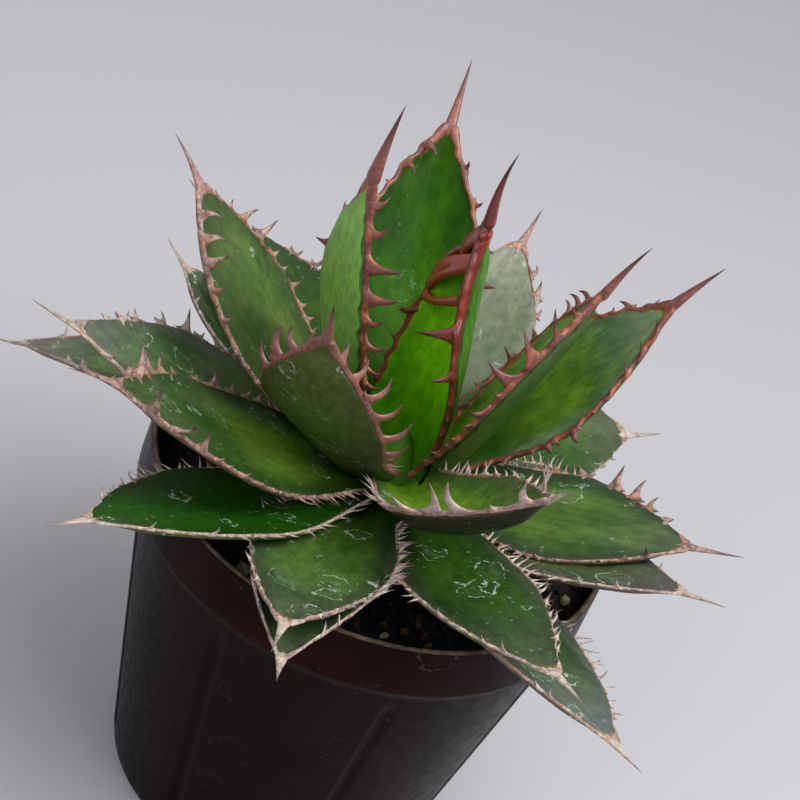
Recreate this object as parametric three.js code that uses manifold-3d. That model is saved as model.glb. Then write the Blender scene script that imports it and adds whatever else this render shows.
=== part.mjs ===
// Potted agave horrida: a rosette of stiff toothed leaves in a round black nursery pot.
// Millimetres, +Z up the axis of the pot, underside of the pot at z = 0.

import * as THREE from 'three';
import { mergeVertices } from 'three/addons/utils/BufferGeometryUtils.js';
import Module from 'manifold-3d';

const wasm = await Module();
wasm.setup();

// Room between pieces, and the size of sliver that is tidied away after a cut
const fitGap = 0.3;
const sliverSize = 0.03;

// Pot
const potHeight = 95;
const rimRadius = 55;
const lipRound = 0.5;
const collarHeight = 14.5;
const collarStep = 1.2;
const collarSlope = 0.8;
const footRadius = 40;
const potWall = 1.5;
const potFloor = 2.2;
const potFacets = 44;
const bodyTop = potHeight - collarHeight;
const groove = { count: 8, width: 2.6, depth: 0.7, endMargin: 6 };
const drain = { count: 8, radius: 3.2, ring: 27, facets: 12 };

// Soil and stem
const soilTop = 87;
const soilRoughness = 1.6;
const soilRimDrop = 0.8;
const soilRings = [0.3, 0.55, 0.8, 1];
const soilFacets = 24;
const soilSeed = 31;
const stemRadius = 8.5;
const stemEndRadius = 5.1;
const stemTipRadius = 1.6;
const stemFoot = 66;
const crownTop = 110;
const stemFacets = 12;

// Leaf outline, as shares of the leaf's length and width
const bellyAt = 0.5;
const neckShare = 0.62;
const tipShare = 0.08;
const tipRoundness = 1.7;
const bladeStations = [0, 0.15, 0.31, 0.47, 0.63, 0.79, 0.91, 0.975];
const edgeStations = [...bladeStations, 1];
const roomStations = [-0.02, ...bladeStations, 1.01];
const bladeColumns = [-1, -0.5, 0, 0.5, 1];
const midribSteps = 24;

// Leaf section
const rootThickness = 5;
const tipThickness = 2.2;
const rimThickness = 1;
const leastGreen = 0.5;
const foldCurve = 1.6;
const foldLimit = 1.2;
const rootCup = 14;
const youngEdgeWidth = 1.9;
const oldEdgeWidth = 1.15;
const edgeThickness = 1.2;
const edgeProud = 0.15;

// End spine: rings at shares of its length, each with its share of the radius
const spineRadius = 1.45;
const spineSides = 5;
const spineRings = [[0, 1], [0.3, 0.8], [0.65, 0.5]];
const spineSink = 0.5;
const spineDrop = 0.4;

// Teeth: like the spine, with rings at shares of their length
const teethPerSide = 6;
const firstTooth = 0.2;
const lastTooth = 0.9;
const toothCrowding = 0.9;
const toothJitter = 0.3;
const youngTooth = { length: 6.6, root: 3.8 };
const oldTooth = { length: 4.4, root: 2.8 };
const toothRings = [[0, 1], [0.45, 0.6]];
const toothThickness = 0.95;
const toothSink = 0.7;
const toothReach = 0.9;
const toothRoom = 0.2;
const toothSeed = 7;
const longestAt = 0.6;
const lengthFade = 0.7;
const lengthRange = [0.65, 1.15];
const hookRange = [0.25, 0.7];
const raiseRange = [0.1, 0.5];
const backwardShare = 0.65;
const edgeStep = 0.02;

// Colours from the youngest leaf to the oldest
const potBlack = new THREE.Color(0.012, 0.011, 0.012);
const soilBrown = new THREE.Color(0.035, 0.024, 0.017);
const stemGreen = new THREE.Color(0.30, 0.36, 0.12);
const youngGreen = new THREE.Color(0.10, 0.30, 0.05);
const oldGreen = new THREE.Color(0.03, 0.10, 0.045);
const youngHorn = new THREE.Color(0.26, 0.06, 0.04);
const oldHorn = new THREE.Color(0.52, 0.42, 0.37);
const darkeningRate = 1.6;

// One line per leaf, youngest first. Heading is the compass turn from +X, rise the angle
// above level at the root, curl and turn how far the leaf bends up and sideways towards its
// tip, fold how far each half is raised from the midrib, lift the bend of the end spine.
const leafPlan = [
  { heading: 40, rise: 87, curl: 12, turn: -55, length: 59, width: 35, fold: 15, roll: 12, spine: 19, lift: -20 },
  { heading: 220, rise: 48, curl: 42, turn: 10, length: 82, width: 28, fold: 2, roll: -10, spine: 18, lift: 8 },
  { heading: 116, rise: 42, curl: 8, turn: -18, length: 72, width: 33, fold: 14, roll: -6, spine: 17, lift: 2 },
  { heading: 351, rise: 70, curl: 6, turn: -5, length: 64, width: 37, fold: 9, roll: 3, spine: 17, lift: -9 },
  { heading: 21, rise: 50, curl: 13, turn: -7, length: 66, width: 34, fold: 2, roll: 6, spine: 15, lift: -5 },
  { heading: 235, rise: 34, curl: 33, turn: 30, length: 72, width: 31, fold: 2, roll: 8, spine: 16, lift: -13 },
  { heading: 197, rise: 37, curl: 13, turn: -29, length: 72, width: 37, fold: 2, roll: -1, spine: 13, lift: -14 },
  { heading: 290, rise: 23, curl: 35, turn: 18, length: 76, width: 30, fold: 24, roll: 19, spine: 9, lift: -14 },
  { heading: 84, rise: 17, curl: -3, turn: -1, length: 71, width: 33, fold: 4, roll: 1, spine: 16, lift: 0 },
  { heading: 228, rise: 19, curl: 15, turn: 0, length: 82, width: 37, fold: 2, roll: -1, spine: 15, lift: -14 },
  { heading: 138, rise: 8, curl: -4, turn: 2, length: 72, width: 35, fold: 11, roll: 1, spine: 16, lift: 0 },
  { heading: 348, rise: 18, curl: 2, turn: 3, length: 60, width: 34, fold: 2, roll: 4, spine: 13, lift: 2 },
  { heading: 261, rise: 9, curl: 11, turn: 9, length: 79, width: 31, fold: 2, roll: 4, spine: 16, lift: -1 },
  { heading: 205, rise: 18, curl: 12, turn: 11, length: 77, width: 37, fold: 5, roll: -3, spine: 14, lift: 3 },
  { heading: 298, rise: 16, curl: 4, turn: 7, length: 79, width: 29, fold: 2, roll: 6, spine: 13, lift: -9 },
  { heading: 110, rise: 10, curl: -8, turn: 2, length: 72, width: 34, fold: 10, roll: 0, spine: 15, lift: 0 },
  { heading: 153, rise: -4, curl: 19, turn: -4, length: 61, width: 30, fold: 15, roll: 9, spine: 9, lift: 13 },
  { heading: 49, rise: 7, curl: -16, turn: -7, length: 61, width: 33, fold: 19, roll: 22, spine: 13, lift: 10 },
  { heading: 238, rise: 12, curl: 1, turn: -4, length: 82, width: 37, fold: 2, roll: 18, spine: 11, lift: -12 },
  { heading: 190, rise: 15, curl: -48, turn: -35, length: 84, width: 28, fold: 12, roll: 3, spine: 9, lift: 10 },
  { heading: 338, rise: 18, curl: 6, turn: -4, length: 65, width: 32, fold: 2, roll: -6, spine: 11, lift: -4 },
  { heading: 14, rise: 4, curl: -2, turn: 2, length: 50, width: 29, fold: 8, roll: 0, spine: 10, lift: 0 },
  { heading: 78, rise: 8, curl: -12, turn: 0, length: 72, width: 34, fold: 9, roll: 0, spine: 14, lift: 0 },
  { heading: 314, rise: 7, curl: 5, turn: -6, length: 82, width: 33, fold: 3, roll: -14, spine: 11, lift: 6 },
  { heading: 260, rise: 12, curl: 1, turn: 15, length: 78, width: 35, fold: 24, roll: 1, spine: 11, lift: 11 },
];

// The leaves start in a spiral round the stem, the young ones high and near its middle.
const youngRoot = { radius: 2, height: potHeight + 13 };
const oldRoot = { radius: 13.5, height: potHeight + 1 };
const radiusCurve = 0.3;
const heightCurve = 0.6;

const { degToRad, lerp, smoothstep } = THREE.MathUtils;

// Repeatable chance: the same seed gives the same plant each time.
function dice(seed) {
  const multiplier = 1664525;
  const increment = 1013904223;
  const modulus = 2 ** 32;
  let state = seed;
  return () => {
    state = (state * multiplier + increment) % modulus;
    return state / modulus;
  };
}

// Solids

function solidFrom(points, faces) {
  const vertProperties = new Float32Array(points.length * 3);
  points.forEach((point, index) => point.toArray(vertProperties, index * 3));
  const triVerts = new Uint32Array(faces.flat());
  return new wasm.Manifold(new wasm.Mesh({ numProp: 3, vertProperties, triVerts }));
}

function solidOf(geometry) {
  geometry.deleteAttribute('normal');
  geometry.deleteAttribute('uv');
  const welded = mergeVertices(geometry, 1e-4);
  const vertProperties = new Float32Array(welded.attributes.position.array);
  const triVerts = new Uint32Array(welded.index.array);
  return new wasm.Manifold(new wasm.Mesh({ numProp: 3, vertProperties, triVerts }));
}

// The biggest piece of a cut solid; loose scraps are dropped and slivers tidied away.
function biggestPiece(solid) {
  const pieces = solid.asOriginal().simplify(sliverSize).decompose();
  pieces.sort((a, b) => b.volume() - a.volume());
  return pieces[0];
}

function meshOf(solid, name, color, roughness) {
  const { vertProperties, triVerts } = solid.getMesh();
  const geometry = new THREE.BufferGeometry();
  geometry.setAttribute('position', new THREE.BufferAttribute(vertProperties, 3));
  geometry.setIndex(new THREE.BufferAttribute(triVerts, 1));
  geometry.computeVertexNormals();
  const material = new THREE.MeshStandardMaterial({ color, roughness, metalness: 0 });
  const mesh = new THREE.Mesh(geometry, material);
  mesh.name = name;
  return mesh;
}

// A closed plate between an upper and a lower grid of points, split alike on both faces.
function plate(upper, lower) {
  const rows = upper.length;
  const columns = upper[0].length;
  const points = [...upper.flat(), ...lower.flat()];
  const top = (row, column) => row * columns + column;
  const under = (row, column) => rows * columns + top(row, column);
  const faces = [];
  const quad = (a, b, c, d) => faces.push([a, b, c], [a, c, d]);
  for (let i = 0; i < rows - 1; i += 1) {
    for (let j = 0; j < columns - 1; j += 1) {
      faces.push([top(i, j), top(i + 1, j), top(i + 1, j + 1)]);
      faces.push([top(i, j), top(i + 1, j + 1), top(i, j + 1)]);
      faces.push([under(i, j), under(i + 1, j + 1), under(i + 1, j)]);
      faces.push([under(i, j), under(i, j + 1), under(i + 1, j + 1)]);
    }
    const end = columns - 1;
    quad(top(i, end), top(i + 1, end), under(i + 1, end), under(i, end));
    quad(top(i, 0), under(i, 0), under(i + 1, 0), top(i + 1, 0));
  }
  const last = rows - 1;
  for (let j = 0; j < columns - 1; j += 1) {
    quad(top(0, j), top(0, j + 1), under(0, j + 1), under(0, j));
    quad(top(last, j), under(last, j), under(last, j + 1), top(last, j + 1));
  }
  return solidFrom(points, faces);
}

// A horn: rings of points that end in one sharp point.
function horn(rings, tip) {
  const sides = rings[0].length;
  const points = [...rings.flat(), tip];
  const faces = [];
  rings.slice(1).forEach((ring, step) => {
    for (let k = 0; k < sides; k += 1) {
      const a = step * sides + k;
      const b = step * sides + ((k + 1) % sides);
      faces.push([a, b, b + sides], [a, b + sides, a + sides]);
    }
  });
  for (let k = 1; k < sides - 1; k += 1) {
    faces.push([0, k + 1, k]);
  }
  const last = (rings.length - 1) * sides;
  for (let k = 0; k < sides; k += 1) {
    faces.push([last + k, last + ((k + 1) % sides), points.length - 1]);
  }
  return solidFrom(points, faces);
}

// Leaf shape

function widthShare(u) {
  if (u < bellyAt) {
    return lerp(neckShare, 1, smoothstep(u, 0, bellyAt));
  }
  const past = (u - bellyAt) / (1 - bellyAt);
  return lerp(1, tipShare, past ** tipRoundness);
}

function direction(heading, rise) {
  const level = Math.cos(degToRad(rise));
  return new THREE.Vector3(
    level * Math.cos(degToRad(heading)),
    level * Math.sin(degToRad(heading)),
    Math.sin(degToRad(rise)),
  );
}

// Midrib point and the three directions of the leaf at the share u of its length.
function frameAt(leaf, u) {
  const centre = leaf.root.clone();
  for (let k = 0; k < midribSteps; k += 1) {
    const mid = (u * (k + 0.5)) / midribSteps;
    const along = direction(leaf.heading + leaf.turn * mid, leaf.rise + leaf.curl * mid);
    centre.addScaledVector(along, (leaf.length * u) / midribSteps);
  }
  const heading = leaf.heading + leaf.turn * u;
  const along = direction(heading, leaf.rise + leaf.curl * u);
  const level = direction(heading + 90, 0);
  const upright = new THREE.Vector3().crossVectors(along, level);
  const roll = degToRad(leaf.roll);
  const side = level.multiplyScalar(Math.cos(roll)).addScaledVector(upright, Math.sin(roll));
  const up = new THREE.Vector3().crossVectors(along, side);
  const fold = degToRad(leaf.fold + rootCup * Math.max(0, 1 - u / bellyAt) ** 2);
  const half = (leaf.width / 2) * widthShare(u);
  return { centre, along, side, up, fold, half, u, edgeWidth: leaf.edgeWidth };
}

// A point of the folded upper face, x across the leaf and depth below the face.
function facePoint(frame, x, depth) {
  const share = Math.min(Math.abs(x) / frame.half, foldLimit);
  const lift = frame.half * Math.sin(frame.fold) * share ** foldCurve;
  return frame.centre.clone()
    .addScaledVector(frame.side, x * Math.cos(frame.fold))
    .addScaledVector(frame.up, lift - depth);
}

function bladeDepth(frame, x) {
  const middle = lerp(rootThickness, tipThickness, frame.u);
  const share = Math.min(Math.abs(x) / frame.half, 1);
  return lerp(middle, rimThickness, share ** 2);
}

// A lengthwise strip of the leaf. across gives its offsets from the midrib, proud its rise
// over the face and depth its reach below it.
function strip(leaf, stations, across, proud, depth) {
  const frames = stations.map((u) => frameAt(leaf, u));
  const upper = frames.map((frame) => across(frame).map((x) => facePoint(frame, x, -proud)));
  const lower = frames.map((frame) => across(frame).map((x) => facePoint(frame, x, depth(frame, x))));
  return plate(upper, lower);
}

function greenHalf(frame) {
  return Math.max(frame.half - frame.edgeWidth - fitGap, leastGreen);
}

function blade(leaf) {
  const across = (frame) => bladeColumns.map((share) => share * greenHalf(frame));
  return strip(leaf, bladeStations, across, 0, bladeDepth);
}

// The whole leaf with a little room round it, used to trim what would run into it.
function leafRoom(leaf) {
  const across = (frame) => {
    const reach = frame.half + fitGap;
    return [-reach, ...bladeColumns.map((share) => share * greenHalf(frame)), reach];
  };
  const depth = (frame, x) => bladeDepth(frame, x) + 2 * fitGap;
  return strip(leaf, roomStations, across, 2 * fitGap, depth);
}

function edgeBand(leaf, sign) {
  const across = (frame) => {
    const inner = frame.u < 1 ? greenHalf(frame) + fitGap : 0;
    const ends = [sign * inner, sign * frame.half];
    return sign > 0 ? ends : ends.reverse();
  };
  return strip(leaf, edgeStations, across, edgeProud, () => edgeThickness - edgeProud);
}

// The end spine carries on from the leaf tip and bends by the lift of the leaf.
function endSpine(leaf) {
  const tipFrame = frameAt(leaf, 1);
  const heading = leaf.heading + leaf.turn;
  const centre = tipFrame.centre.clone().addScaledVector(tipFrame.along, -spineSink);
  let reached = 0;
  const moveTo = (share) => {
    const rise = leaf.rise + leaf.curl + leaf.lift * share;
    centre.addScaledVector(direction(heading, rise), (share - reached) * leaf.spine);
    reached = share;
  };
  const rings = spineRings.map(([share, size]) => {
    moveTo(share);
    return Array.from({ length: spineSides }, (unused, k) => {
      const turn = (2 * Math.PI * k) / spineSides;
      return centre.clone()
        .addScaledVector(tipFrame.side, spineRadius * size * Math.cos(turn))
        .addScaledVector(tipFrame.up, spineRadius * size * Math.sin(turn) - spineDrop);
    });
  });
  moveTo(1);
  return horn(rings, centre);
}

// One flat hooked tooth square to the leaf edge, its root well inside the edge band.
function tooth(leaf, sign, u, length, hook, raise) {
  const rootAt = (share) => {
    const frame = frameAt(leaf, share);
    return facePoint(frame, sign * (frame.half - toothSink), edgeThickness / 2 - edgeProud);
  };
  const root = rootAt(u);
  const { up } = frameAt(leaf, u);
  const along = rootAt(u + edgeStep).sub(rootAt(u - edgeStep)).normalize();
  const out = new THREE.Vector3().crossVectors(up, along).multiplyScalar(sign);
  const reach = length + toothSink;
  const bentPoint = (outward, bend) => root.clone()
    .addScaledVector(out, reach * outward)
    .addScaledVector(along, hook * length * bend)
    .addScaledVector(up, raise * length * bend);
  const rootWidth = lerp(youngTooth.root, oldTooth.root, leaf.age);
  const rings = toothRings.map(([share, size]) => {
    const middle = bentPoint(share, share ** 2);
    const wide = (rootWidth * size) / 2;
    const thick = (toothThickness * size) / 2;
    return [[0, thick], [wide, -thick], [-wide, -thick]].map(([a, b]) => middle.clone()
      .addScaledVector(along, a * sign)
      .addScaledVector(up, b));
  });
  return horn(rings, bentPoint(toothReach, 1));
}

// Teeth down both edges, longest a little above the middle; most hook back to the root.
function teeth(leaf, index) {
  const roll = dice(toothSeed + index);
  const between = ([low, high]) => lerp(low, high, roll());
  const longest = lerp(youngTooth.length, oldTooth.length, leaf.age);
  const found = [];
  [-1, 1].forEach((sign) => {
    for (let k = 0; k < teethPerSide; k += 1) {
      const share = Math.min((k + toothJitter * roll()) / (teethPerSide - 1), 1);
      const u = lerp(firstTooth, lastTooth, share ** toothCrowding);
      const fade = 1 - lengthFade * Math.abs(u - longestAt);
      const length = longest * between(lengthRange) * fade;
      const hookSide = roll() < backwardShare ? -1 : 1;
      const hook = hookSide * between(hookRange);
      found.push(tooth(leaf, sign, u, length, hook, between(raiseRange)));
    }
  });
  return found;
}

// Pot, soil and stem

function lathe(profile, facets) {
  const points = profile.map(([radius, height]) => new THREE.Vector2(radius, height));
  const geometry = new THREE.LatheGeometry(points, facets);
  geometry.rotateX(Math.PI / 2);
  return solidOf(geometry);
}

function potRadiusAt(height) {
  return lerp(footRadius, rimRadius - collarStep, height / bodyTop);
}

// Where a plug stands clear of the flats inside a wall of this outer radius.
function insideRadius(outerRadius) {
  return (outerRadius - potWall) * Math.cos(Math.PI / potFacets) - fitGap;
}

function makePot() {
  const neckRadius = potRadiusAt(bodyTop);
  let pot = lathe([
    [0, 0],
    [footRadius, 0],
    [neckRadius, bodyTop],
    [rimRadius, bodyTop + collarSlope],
    [rimRadius, potHeight - lipRound],
    [rimRadius - lipRound, potHeight],
    [rimRadius - potWall, potHeight],
    [rimRadius - potWall, bodyTop + 2 * collarSlope],
    [neckRadius - potWall, bodyTop - collarSlope],
    [potRadiusAt(potFloor) - potWall, potFloor],
    [0, potFloor],
  ], potFacets);
  const lean = Math.atan2(neckRadius - footRadius, bodyTop);
  const grooveLength = bodyTop - 2 * groove.endMargin;
  for (let k = 0; k < groove.count; k += 1) {
    const bar = new THREE.BoxGeometry(2 * groove.depth, groove.width, grooveLength);
    bar.rotateY(lean);
    bar.translate(potRadiusAt(bodyTop / 2), 0, bodyTop / 2);
    bar.rotateZ((2 * Math.PI * (k + 0.5)) / groove.count);
    pot = pot.subtract(solidOf(bar));
  }
  for (let k = 0; k < drain.count; k += 1) {
    const hole = new THREE.CylinderGeometry(drain.radius, drain.radius, 4 * potFloor, drain.facets);
    hole.rotateX(Math.PI / 2);
    hole.translate(drain.ring, 0, 0);
    hole.rotateZ((2 * Math.PI * k) / drain.count);
    pot = pot.subtract(solidOf(hole));
  }
  return biggestPiece(pot);
}

// The soil fills the pot from just above the floor and has a lumpy top.
function makeSoil() {
  const roll = dice(soilSeed);
  const points = [];
  const addRing = (radius, phase, heightOf) => {
    for (let k = 0; k < soilFacets; k += 1) {
      const turn = (2 * Math.PI * (k + phase)) / soilFacets;
      points.push(new THREE.Vector3(radius * Math.cos(turn), radius * Math.sin(turn), heightOf()));
    }
  };
  soilRings.forEach((share, ring) => {
    const lump = () => (share < 1 ? soilRoughness * (roll() - 0.5) : -soilRimDrop);
    addRing(share * insideRadius(rimRadius), ring / 2, () => soilTop + lump());
  });
  const lastPhase = (soilRings.length - 1) / 2;
  const foot = potFloor + fitGap;
  addRing(insideRadius(potRadiusAt(bodyTop)), lastPhase, () => bodyTop - collarSlope);
  addRing(insideRadius(footRadius), lastPhase, () => foot);
  const crest = points.push(new THREE.Vector3(0, 0, soilTop)) - 1;
  const base = points.push(new THREE.Vector3(0, 0, foot)) - 1;
  const bands = soilRings.length + 1;
  const faces = [];
  for (let k = 0; k < soilFacets; k += 1) {
    const next = (k + 1) % soilFacets;
    faces.push([crest, k, next]);
    for (let band = 0; band < bands; band += 1) {
      const a = band * soilFacets + k;
      const b = band * soilFacets + next;
      faces.push([a, a + soilFacets, b], [b, a + soilFacets, b + soilFacets]);
    }
    faces.push([base, bands * soilFacets + next, bands * soilFacets + k]);
  }
  return solidFrom(points, faces);
}

// The short stem, made room larger all round where it is used to cut a hole for itself.
function makeStem(room) {
  return lathe([
    [0, stemFoot - room],
    [stemEndRadius + room, stemFoot - room],
    [stemRadius + room, soilTop - 4],
    [stemRadius + room, potHeight + 3],
    [stemEndRadius + room, potHeight + 9],
    [stemTipRadius + room, crownTop - 2],
    [0, crownTop + room],
  ], stemFacets);
}

// Assembly

const group = new THREE.Group();
group.name = 'potted_agave_horrida';

const stemRoom = makeStem(fitGap);
const soil = biggestPiece(makeSoil().subtract(stemRoom));
group.add(meshOf(makePot(), 'pot', potBlack, 0.42));
group.add(meshOf(soil, 'soil', soilBrown, 0.95));
group.add(meshOf(makeStem(0), 'stem', stemGreen, 0.6));

const leaves = leafPlan.map((plan, index) => {
  const age = index / (leafPlan.length - 1);
  const radius = lerp(youngRoot.radius, oldRoot.radius, age ** radiusCurve);
  const root = direction(plan.heading, 0).multiplyScalar(radius);
  root.z = lerp(youngRoot.height, oldRoot.height, age ** heightCurve);
  return { ...plan, age, root, edgeWidth: lerp(youngEdgeWidth, oldEdgeWidth, age) };
});
const rooms = leaves.map(leafRoom);
const joined = (solids) => solids.reduce((whole, solid) => whole.add(solid), stemRoom);

// An older leaf gives way to the stem and the younger leaves. A tooth gives way to every
// other leaf, and is left out where it would come too close to another one's edge.
let edgesSoFar = stemRoom;
leaves.forEach((leaf, index) => {
  const younger = joined(rooms.slice(0, index));
  const others = joined(rooms.filter((room, k) => k !== index));
  const green = biggestPiece(blade(leaf).subtract(younger));
  const rim = edgeBand(leaf, -1).add(edgeBand(leaf, 1)).add(endSpine(leaf));
  const freeTeeth = teeth(leaf, index).filter((solid) => solid.minGap(edgesSoFar, 1) > toothRoom);
  const toothed = freeTeeth.reduce(
    (whole, solid) => whole.add(solid.subtract(others)),
    biggestPiece(rim.subtract(younger)),
  );
  const edge = biggestPiece(toothed);
  edgesSoFar = edgesSoFar.add(edge);
  const label = `leaf_${String(index + 1).padStart(2, '0')}`;
  const greenColor = youngGreen.clone().lerp(oldGreen, Math.min(1, leaf.age * darkeningRate));
  const hornColor = youngHorn.clone().lerp(oldHorn, leaf.age);
  group.add(meshOf(green, `${label}_blade`, greenColor, 0.5));
  group.add(meshOf(edge, `${label}_edge`, hornColor, 0.45));
});

export default group;
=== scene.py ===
"""Potted agave horrida: a rosette of stiff toothed leaves in a round black nursery pot.

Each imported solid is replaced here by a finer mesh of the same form, worked out from the same
sizes. Lengths are in millimetres, and make_object turns them into metres.
"""
import math
import random

import bmesh
import bpy
import numpy as np
from mathutils import Matrix, Vector, noise
from mathutils.kdtree import KDTree


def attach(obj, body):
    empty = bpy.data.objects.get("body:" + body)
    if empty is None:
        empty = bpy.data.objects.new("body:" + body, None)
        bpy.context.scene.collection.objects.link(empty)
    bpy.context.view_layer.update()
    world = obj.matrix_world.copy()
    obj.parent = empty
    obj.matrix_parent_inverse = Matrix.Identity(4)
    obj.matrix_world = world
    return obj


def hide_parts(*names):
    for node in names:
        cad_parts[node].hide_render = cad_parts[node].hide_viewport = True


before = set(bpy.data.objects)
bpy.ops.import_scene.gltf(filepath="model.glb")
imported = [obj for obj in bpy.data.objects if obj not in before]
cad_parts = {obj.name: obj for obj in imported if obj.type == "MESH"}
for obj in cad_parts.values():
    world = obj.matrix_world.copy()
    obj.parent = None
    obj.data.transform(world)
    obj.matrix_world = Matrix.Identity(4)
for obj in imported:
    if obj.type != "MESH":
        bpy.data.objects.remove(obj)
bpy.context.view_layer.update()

MM = 0.001
ROOT = "root"

# Pot and soil, as in the part, but with slightly shallower grooves
POT_HEIGHT = 95
RIM_RADIUS = 55
COLLAR_HEIGHT = 14.5
COLLAR_STEP = 1.2
FOOT_RADIUS = 40
POT_WALL = 1.5
POT_FLOOR = 2.2
BODY_TOP = POT_HEIGHT - COLLAR_HEIGHT
NECK_RADIUS = RIM_RADIUS - COLLAR_STEP
GROOVES = {"count": 8, "width": 2.6, "depth": 0.65, "end": 6}
DRAINS = {"count": 8, "radius": 3.2, "ring": 27}
SOIL_TOP = 87

# Leaf form, as in the part; roots go from the youngest leaf to the oldest
BELLY_AT = 0.5
NECK_SHARE = 0.62
TIP_SHARE = 0.08
TIP_ROUNDNESS = 1.7
ROOT_THICKNESS = 5
TIP_THICKNESS = 2.2
RIM_THICKNESS = 1
FOLD_CURVE = 1.6
FOLD_LIMIT = 1.2
ROOT_CUP = 14
SPINE_RADIUS = 1.45
ROOT_RADII = (2, 13.5)
ROOT_HEIGHTS = (POT_HEIGHT + 13, POT_HEIGHT + 1)
RADIUS_CURVE = 0.3
HEIGHT_CURVE = 0.6

# Leaf form that only the finer pieces have, by leaf where it is a table
WIDE_NECKS = {1: 0.85}
TIP_CURLS = {1: 3.0}
TIP_TAPER = 0.4
LEAF_SEED = 400

# Heading, rise, curl, turn, length, width, fold, roll, end spine and its lift, as in the
# part, with the youngest leaf first.
LEAF_PLAN = (
    (40, 87, 12, -55, 59, 35, 15, 12, 19, -20),
    (220, 48, 42, 10, 82, 28, 2, -10, 18, 8),
    (116, 42, 8, -18, 72, 33, 14, -6, 17, 2),
    (351, 70, 6, -5, 64, 37, 9, 3, 17, -9),
    (21, 50, 13, -7, 66, 34, 2, 6, 15, -5),
    (235, 34, 33, 30, 72, 31, 2, 8, 16, -13),
    (197, 37, 13, -29, 72, 37, 2, -1, 13, -14),
    (290, 23, 35, 18, 76, 30, 24, 19, 9, -14),
    (84, 17, -3, -1, 71, 33, 4, 1, 16, 0),
    (228, 19, 15, 0, 82, 37, 2, -1, 15, -14),
    (138, 8, -4, 2, 72, 35, 11, 1, 16, 0),
    (348, 18, 2, 3, 60, 34, 2, 4, 13, 2),
    (261, 9, 11, 9, 79, 31, 2, 4, 16, -1),
    (205, 18, 12, 11, 77, 37, 5, -3, 14, 3),
    (298, 16, 4, 7, 79, 29, 2, 6, 13, -9),
    (110, 10, -8, 2, 72, 34, 10, 0, 15, 0),
    (153, -4, 19, -4, 61, 30, 15, 9, 9, 13),
    (49, 7, -16, -7, 61, 33, 19, 22, 13, 10),
    (238, 12, 1, -4, 82, 37, 2, 18, 11, -12),
    (190, 15, -48, -35, 84, 28, 12, 3, 9, 10),
    (338, 18, 6, -4, 65, 32, 2, -6, 11, -4),
    (14, 4, -2, 2, 50, 29, 8, 0, 10, 0),
    (78, 8, -12, 0, 72, 34, 9, 0, 14, 0),
    (314, 7, 5, -6, 82, 33, 3, -14, 11, 6),
    (260, 12, 1, 15, 78, 35, 24, 1, 11, 11),
)
YOUNG_LEAVES = 5
MIDDLE_LEAVES = 12


def lerp(a, b, share):
    return a + (b - a) * share


def smoothstep(value, low, high):
    share = np.clip((value - low) / (high - low), 0, 1)
    return share * share * (3 - 2 * share)


def unit(vectors):
    return vectors / np.linalg.norm(vectors, axis=-1, keepdims=True)


def direction(heading, rise):
    heading, rise = np.broadcast_arrays(np.radians(heading), np.radians(rise))
    level = np.cos(rise)
    return np.stack([level * np.cos(heading), level * np.sin(heading), np.sin(rise)], -1)


def turns(count):
    """Angles of count even steps round a circle."""
    return np.arange(count) / count * 2 * math.pi


def circle(radius, height, turn):
    return np.stack([radius * np.cos(turn), radius * np.sin(turn), height + 0 * turn], -1)


def walked(ways, t, length):
    """Points of a walk of some length from the origin, in the directions given at t."""
    steps = (ways[1:] + ways[:-1]) / 2 * np.diff(t)[:, None] * length
    return np.concatenate([[np.zeros(3)], np.cumsum(steps, 0)])


# Meshes

def make_object(name, points, faces, marks=None):
    """An object from millimetre points; marks is {name: one vector per point}."""
    mesh = bpy.data.meshes.new(name)
    mesh.from_pydata([tuple(p * MM) for p in np.asarray(points, float)], [], faces)
    for label, values in (marks or {}).items():
        layer = mesh.attributes.new(label, "FLOAT_VECTOR", "POINT")
        layer.data.foreach_set("vector", np.asarray(values, np.float32).ravel())
    shell = bmesh.new()
    shell.from_mesh(mesh)
    bmesh.ops.recalc_face_normals(shell, faces=shell.faces)
    shell.to_mesh(mesh)
    shell.free()
    made = bpy.data.objects.new(name, mesh)
    bpy.context.scene.collection.objects.link(made)
    return made


def tube_faces(rings, around):
    """Quads that join each ring of points to the next."""
    faces = []
    for i in range(rings - 1):
        for j in range(around):
            a, b = i * around + j, i * around + (j + 1) % around
            faces.append((a, b, b + around, a + around))
    return faces


def capped_tube(rings):
    """Points and faces of a tube with closed ends, from an array (rings, around, 3)."""
    count, around = rings.shape[:2]
    faces = tube_faces(count, around)
    faces.append(tuple(reversed(range(around))))
    faces.append(tuple((count - 1) * around + j for j in range(around)))
    return rings.reshape(-1, 3), faces


def turned_shell(rings):
    """Points and faces of a turned wall, whose last ring joins its first."""
    count, around = rings.shape[:2]
    last = (count - 1) * around
    closing = [(last + j, last + (j + 1) % around, (j + 1) % around, j) for j in range(around)]
    return rings.reshape(-1, 3), tube_faces(count, around) + closing


def finish_piece(piece, material, slot, *nodes):
    piece.data.materials.clear()
    piece.data.materials.append(material)
    piece.data.polygons.foreach_set("use_smooth", [True] * len(piece.data.polygons))
    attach(piece, ROOT)
    if nodes:
        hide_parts(*nodes)


def biggest_island(mesh):
    """Deletes all but the largest connected piece of a mesh."""
    shell = bmesh.new()
    shell.from_mesh(mesh)
    unseen = set(shell.verts)
    islands = []
    while unseen:
        front = [unseen.pop()]
        island = set(front)
        while front:
            for edge in front.pop().link_edges:
                for vert in edge.verts:
                    if vert in unseen:
                        unseen.discard(vert)
                        island.add(vert)
                        front.append(vert)
        islands.append(island)
    islands.sort(key=len, reverse=True)
    bmesh.ops.delete(shell, geom=[v for island in islands[1:] for v in island], context="VERTS")
    shell.to_mesh(mesh)
    shell.free()


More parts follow.
